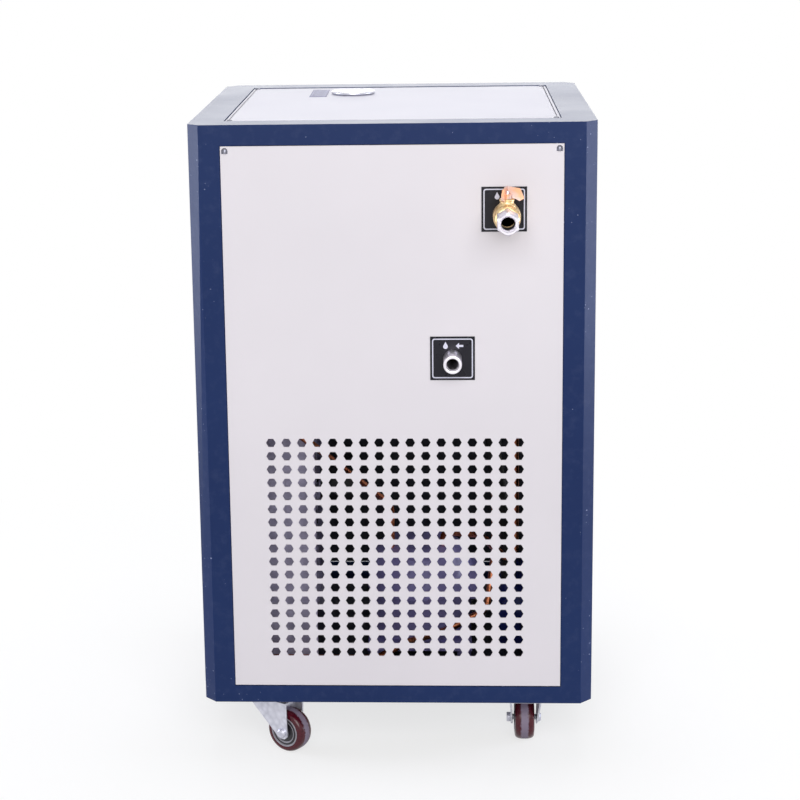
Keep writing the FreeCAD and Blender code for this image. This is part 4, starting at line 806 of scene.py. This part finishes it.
# (radius, level) in millimetres from the middle of the hub outwards
CORE_HALF = [(4.1, 15), (8.5, 15), (8.5, 13.5), (15, 12.6), (15.6, 13.6), (17, 13.6), (17.4, 12.8), (20, 12.8),
             (20.4, 14.2), (22.2, 14.4), (22.5, 14)]
TREAD_HALF = [(22.5, 13.9), (24, 14), (26, 13.9), (27.6, 13.3), (29, 12.2), (30.2, 10.4), (31.0, 8), (31.4, 5),
              (31.5, 2.4)]
TREAD_HALF_WIDTH = 14
# outer radius of each coloured ring and its material: 0 the hub, 1 the grey, 2 the black
CORE_RINGS = ((8.4, 0), (15.2, 2), (17.1, 1), (20.1, 2))
OUTER_RING = 1


def ring_index(radius):
    """Material index of the wheel core at a radius in millimetres."""
    return next((index for limit, index in CORE_RINGS if radius < limit), OUTER_RING)


def wheel(corner):
    """Core with coloured rings, and the tread that is moulded on it."""
    joint = JOINTS["roll_" + corner]
    place = laid(joint["pos_m"], joint["axis"])
    back = place.inverted()
    bm = bmesh.new()
    lathe(bm, mirrored(CORE_HALF), place, steps=64)
    close_up(bm)
    for face in bm.faces:
        face.material_index = ring_index((back @ face.calc_center_median()).to_2d().length / MM)
    core = "wheel_core_" + corner
    to_piece(bm, "wheel_centre_" + corner, "wheel_" + corner, ["zinc", "core_grey", "core_black"],
             [core], smooth=35)

    bm = bmesh.new()
    lathe(bm, mirrored(TREAD_HALF), place, steps=96)
    close_up(bm)
    across = bm.verts.layers.float.new("across")
    for vert in bm.verts:
        vert[across] = abs((back @ vert.co).z) / (TREAD_HALF_WIDTH * MM)
    tread = "wheel_tread_" + corner
    to_piece(bm, "tyre_" + corner, "wheel_" + corner, ["tread_red"], [tread], smooth=50)


LEG_FACE = 19.5 * MM
LEG_SPREAD = 0.16
EYE_REACH = 6 * MM
BOLT_HEAD_SHARE = 0.8


def fork(corner):
    """Pressed fork whose legs spread a little towards the crown."""
    node = "castor_fork_" + corner
    joint = JOINTS["roll_" + corner]
    axle = Vector(joint["pos_m"])
    sideways = Vector(joint["axis"]).normalized()
    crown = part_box(node)[1].z

    def spread(bm):
        """Spread the legs towards the crown, and draw the bolt end in below the added head."""
        for vert in bm.verts:
            rise = max(0.0, (vert.co.z - axle.z - EYE_REACH) / (crown - axle.z - EYE_REACH))
            offset = (vert.co - axle).dot(sideways)
            if offset < -LEG_FACE - 0.05 * MM and rise < 0.05:
                foot = axle + sideways * offset
                vert.co = foot + (vert.co - foot) * BOLT_HEAD_SHARE
            vert.co += sideways * offset * LEG_SPREAD * rise

    soften(node, 0.0007, segments=2, shape=spread)
    bm = bmesh.new()
    lathe(bm, [(0, 0), (7.0, 0), (7.0, 1.2), (6.7, 2.6), (5.8, 3.8), (4.2, 4.6), (2.2, 5.0), (0, 5.1)],
          laid(axle - sideways * LEG_FACE, -sideways), steps=32)
    close_up(bm)
    to_piece(bm, "axle_head_" + corner, "fork_" + corner, ["zinc"], smooth=50)


def castors():
    for corner in CORNERS:
        wheel(corner)
        fork(corner)
    soften("castor_plates", 0.0007)
    soften("castor_bolts", 0.0005)
    for side in ("left", "right"):
        soften("brake_pedal_front_" + side, 0.0008)


# ---------------------------------------------------------------- control side


SEGMENTS = {"top": (0, 1, True), "middle": (0, 0, True), "bottom": (0, -1, True), "high_left": (-1, 0.5, False),
            "high_right": (1, 0.5, False), "low_left": (-1, -0.5, False), "low_right": (1, -0.5, False)}
DIGITS = {"2": ("top", "high_right", "middle", "low_left", "bottom"),
          "5": ("top", "high_left", "middle", "low_right", "bottom"),
          "0": ("top", "high_left", "high_right", "low_left", "low_right", "bottom")}


CONTROLLER_SET_BACK = 1.6 * MM
WINDOW_HEIGHT = 0.5
FIGURE_HEIGHT = 0.12
KEY_HEIGHT = 1.0
KEYS = 5
KEY_PITCH = 24


def digit(bm, figure, face, x, y, wide, tall, index):
    """Seven-segment figure as raised bars on a display."""
    for name in DIGITS[figure]:
        side, level, lying = SEGMENTS[name]
        cx, cy = x + side * wide / 2, y + level * tall / 2
        half = (wide / 2 - 0.9, 0.8) if lying else (0.8, tall / 4 - 0.5)
        block(bm, (cx - half[0], cx + half[0]), (cy - half[1], cy + half[1]), face, 0, FIGURE_HEIGHT, index)


def controller():
    """Controller box: dark window with figures, and a row of keys."""
    low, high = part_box("controller")

    def sink_front(bm):
        """Set the front face back, so that the raised keys stay within the box's depth."""
        for vert in bm.verts:
            if vert.co.y > high.y - 0.1 * MM:
                vert.co.y -= CONTROLLER_SET_BACK

    soften("controller", 0.0015, segments=3, shape=sink_front)
    face = laid(((low.x + high.x) / 2, high.y - CONTROLLER_SET_BACK, (low.z + high.z) / 2), (0, 1, 0))
    bm = bmesh.new()
    block(bm, (-62, 62), (-2, 36), face, 0, WINDOW_HEIGHT, 0)
    window = face @ Matrix.Translation(Vector((0, 0, WINDOW_HEIGHT * MM)))
    for row, figures in ((24.5, "250"), (8.5, "200")):
        for place, figure in enumerate(figures):
            digit(bm, figure, window, -22 + place * 18, row, 8, 11, 1)
        block(bm, (5.2, 6.8), (row - 5.9, row - 4.3), window, 0, FIGURE_HEIGHT, 1)
    for key in range(KEYS):
        x = (key - (KEYS - 1) / 2) * KEY_PITCH
        points = rounded_rectangle(15, 9, 2.5)
        prism(bm, points, face @ Matrix.Translation(Vector((x, -22, 0)) * MM), KEY_HEIGHT, 2)
    close_up(bm)
    to_piece(bm, "controller_face", "cabinet", ["dark_glass", "digit_red", "key_grey"])


def rockers():
    """Frames and rockers of the three plain switches."""
    soften("switch_frames", 0.0007)
    for name in ("power", "cooling", "pump"):
        soften(name + "_switch", 0.0006, segments=3)


# ---------------------------------------------------------------- inside


def inside():
    """Pieces behind the panels, with the small radii that such parts have."""
    for node, width in (("tank", 0.002), ("tank_lid", 0.0006), ("tank_shelf", 0.0008), ("base_tray", 0.0008),
                        ("compressor", 0.004), ("fan_motor", 0.002), ("pump", 0.0012), ("fan", 0.0006),
                        ("fan_shroud", 0.0008), ("cable_gland", 0.0006), ("fill_neck", 0.0006),
                        ("port_nuts", 0.0006), ("bulkhead_nipple", 0.0004)):
        soften(node, width, "shroud_zinc" if node == "fan_shroud" else None)


FIN_PITCH = 5.0
FIN_HALF_THICKNESS = 0.25


def condenser():
    """Core with its end sheets, and rows of thin fins on the face towards the side panel."""
    low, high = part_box("condenser")
    soften("condenser", 0.0008, flat=True)
    bm = bmesh.new()
    face = laid((high.x, (low.y + high.y) / 2, (low.z + high.z) / 2), (1, 0, 0))
    wide, tall = (high.y - low.y) / 2 / MM - 6, (high.z - low.z) / 2 / MM - 4
    count = int(2 * wide / FIN_PITCH)
    for fin in range(count):
        x = -wide + (fin + 0.5) * 2 * wide / count
        block(bm, (x - FIN_HALF_THICKNESS, x + FIN_HALF_THICKNESS), (-tall, tall), face, -1, 0.25, 0)
    close_up(bm)
    to_piece(bm, "condenser_fins", "cabinet", ["fins"], smooth=0)


# ---------------------------------------------------------------- stage


CAMERA_PLACE = (0.0741, -2.847, 1.2276)
CAMERA_TURN = (-2.934, -12.53, -0.912)
CAMERA_LENS = 89.05
CAMERA_SHIFT = (0.064, -0.096)
SENSOR_WIDTH = 36
FLOOR_HALF_SIZE = 9


def light_path_mix(f, *rays):
    """One where any of the named rays arrives, else zero."""
    path = f.add("ShaderNodeLightPath")
    found = path.outputs[rays[0]]
    for ray in rays[1:]:
        found = f.combine("MAXIMUM", found, path.outputs[ray])
    return found


def floor():
    """Pale floor that keeps the shadow near the object and turns plain white further out."""
    bm = bmesh.new()
    bmesh.ops.create_grid(bm, x_segments=1, y_segments=1, size=FLOOR_HALF_SIZE)
    mesh = bpy.data.meshes.new("floor")
    bm.to_mesh(mesh)
    bm.free()
    piece = bpy.data.objects.new("floor", mesh)
    SCENE.collection.objects.link(piece)
    f = Finish("floor_white", (0.86, 0.86, 0.87, 1), 0.9)
    seen = light_path_mix(f, "Is Camera Ray", "Is Glossy Ray", "Is Transmission Ray")
    f.colour(f.blend(seen, (0.42, 0.42, 0.44, 1), (0.9, 0.9, 0.9, 1)))
    distance = f.add("ShaderNodeVectorMath", operation="LENGTH")
    f.wire(f.place, distance, 0)
    far = f.band(distance.outputs["Value"], 0.35, 1.3, 0.68, 1.0)
    glow = f.add("ShaderNodeEmission")
    glow.inputs["Color"].default_value = (1, 1, 1, 1)
    mix = f.add("ShaderNodeMixShader")
    f.wire(f.combine("MULTIPLY", far, seen), mix, 0)
    f.wire(f.shader.outputs["BSDF"], mix, 1)
    f.wire(glow.outputs["Emission"], mix, 2)
    output = f.tree.nodes["Material Output"]
    f.wire(mix.outputs["Shader"], output, "Surface")
    piece.data.materials.append(f.material)


def world():
    """White where a camera, gloss or glass ray looks, softer as a light."""
    SCENE.world = bpy.data.worlds.new("studio")
    SCENE.world.use_nodes = True
    tree = SCENE.world.node_tree
    path = tree.nodes.new("ShaderNodeLightPath")
    seen = path.outputs["Is Camera Ray"]
    for ray in ("Is Glossy Ray", "Is Transmission Ray"):
        either = tree.nodes.new("ShaderNodeMath")
        either.operation = "MAXIMUM"
        tree.links.new(seen, either.inputs[0])
        tree.links.new(path.outputs[ray], either.inputs[1])
        seen = either.outputs["Value"]
    strength = tree.nodes.new("ShaderNodeMapRange")
    tree.links.new(seen, strength.inputs["Value"])
    strength.inputs["To Min"].default_value = 0.34
    strength.inputs["To Max"].default_value = 1.0
    background = tree.nodes["Background"]
    background.inputs["Color"].default_value = (1, 1, 1, 1)
    tree.links.new(strength.outputs["Result"], background.inputs["Strength"])


def lamp(name, place, target, size, power, colour=(1, 1, 1)):
    data = bpy.data.lights.new(name, "AREA")
    data.shape = "RECTANGLE"
    data.size, data.size_y = size
    data.energy = power
    data.color = colour
    item = bpy.data.objects.new(name, data)
    SCENE.collection.objects.link(item)
    item.location = place
    item.rotation_euler = (Vector(target) - Vector(place)).to_track_quat("-Z", "Y").to_euler()


def lamps():
    middle = (0, 0, 0.6)
    lamp("key", (0.3, -3.3, 1.95), middle, (2.6, 1.8), 84)
    lamp("back", (-0.3, 3.2, 1.75), (0, 0, 0.8), (2.8, 1.4), 24)
    lamp("top", (0.1, 0.4, 3.1), (0, 0.05, 0.9), (1.6, 1.6), 17)
    lamp("front", (0.3, 3.3, 0.5), (0, 0.3, 0.5), (2.4, 0.7), 40)
    lamp("left", (-2.6, 0.15, 0.75), (-0.25, -0.1, 0.6), (1.3, 1.5), 38, (0.8, 0.85, 1.0))
    lamp("right", (2.6, 0.15, 0.75), (0.25, -0.1, 0.6), (1.3, 1.5), 38, (0.8, 0.85, 1.0))


def camera():
    yaw, pitch, roll = (math.radians(angle) for angle in CAMERA_TURN)
    forward = Vector((math.sin(yaw) * math.cos(pitch), math.cos(yaw) * math.cos(pitch), math.sin(pitch)))
    level = forward.cross(UP).normalized()
    upright = level.cross(forward)
    right = level * math.cos(roll) + upright * math.sin(roll)
    data = bpy.data.cameras.new("camera")
    data.lens = CAMERA_LENS
    data.sensor_width = SENSOR_WIDTH
    data.shift_x, data.shift_y = CAMERA_SHIFT
    item = bpy.data.objects.new("camera", data)
    SCENE.collection.objects.link(item)
    turn = Matrix((right, right.cross(forward), -forward)).transposed().to_4x4()
    item.matrix_world = Matrix.Translation(CAMERA_PLACE) @ turn
    SCENE.camera = item


# ---------------------------------------------------------------- assembly

dress_nodes()
cabinet_shell()
screws()
port_label("outlet_plate", inward=False)
port_label("inlet_plate", inward=True)
rating_plate()
ball_valve()
valve_lever()
outlet_piece()
inlet_stub()
filler_cap()
castors()
controller()
rockers()
inside()
condenser()
floor()
world()
lamps()
camera()
SCENE.view_settings.view_transform = "Standard"
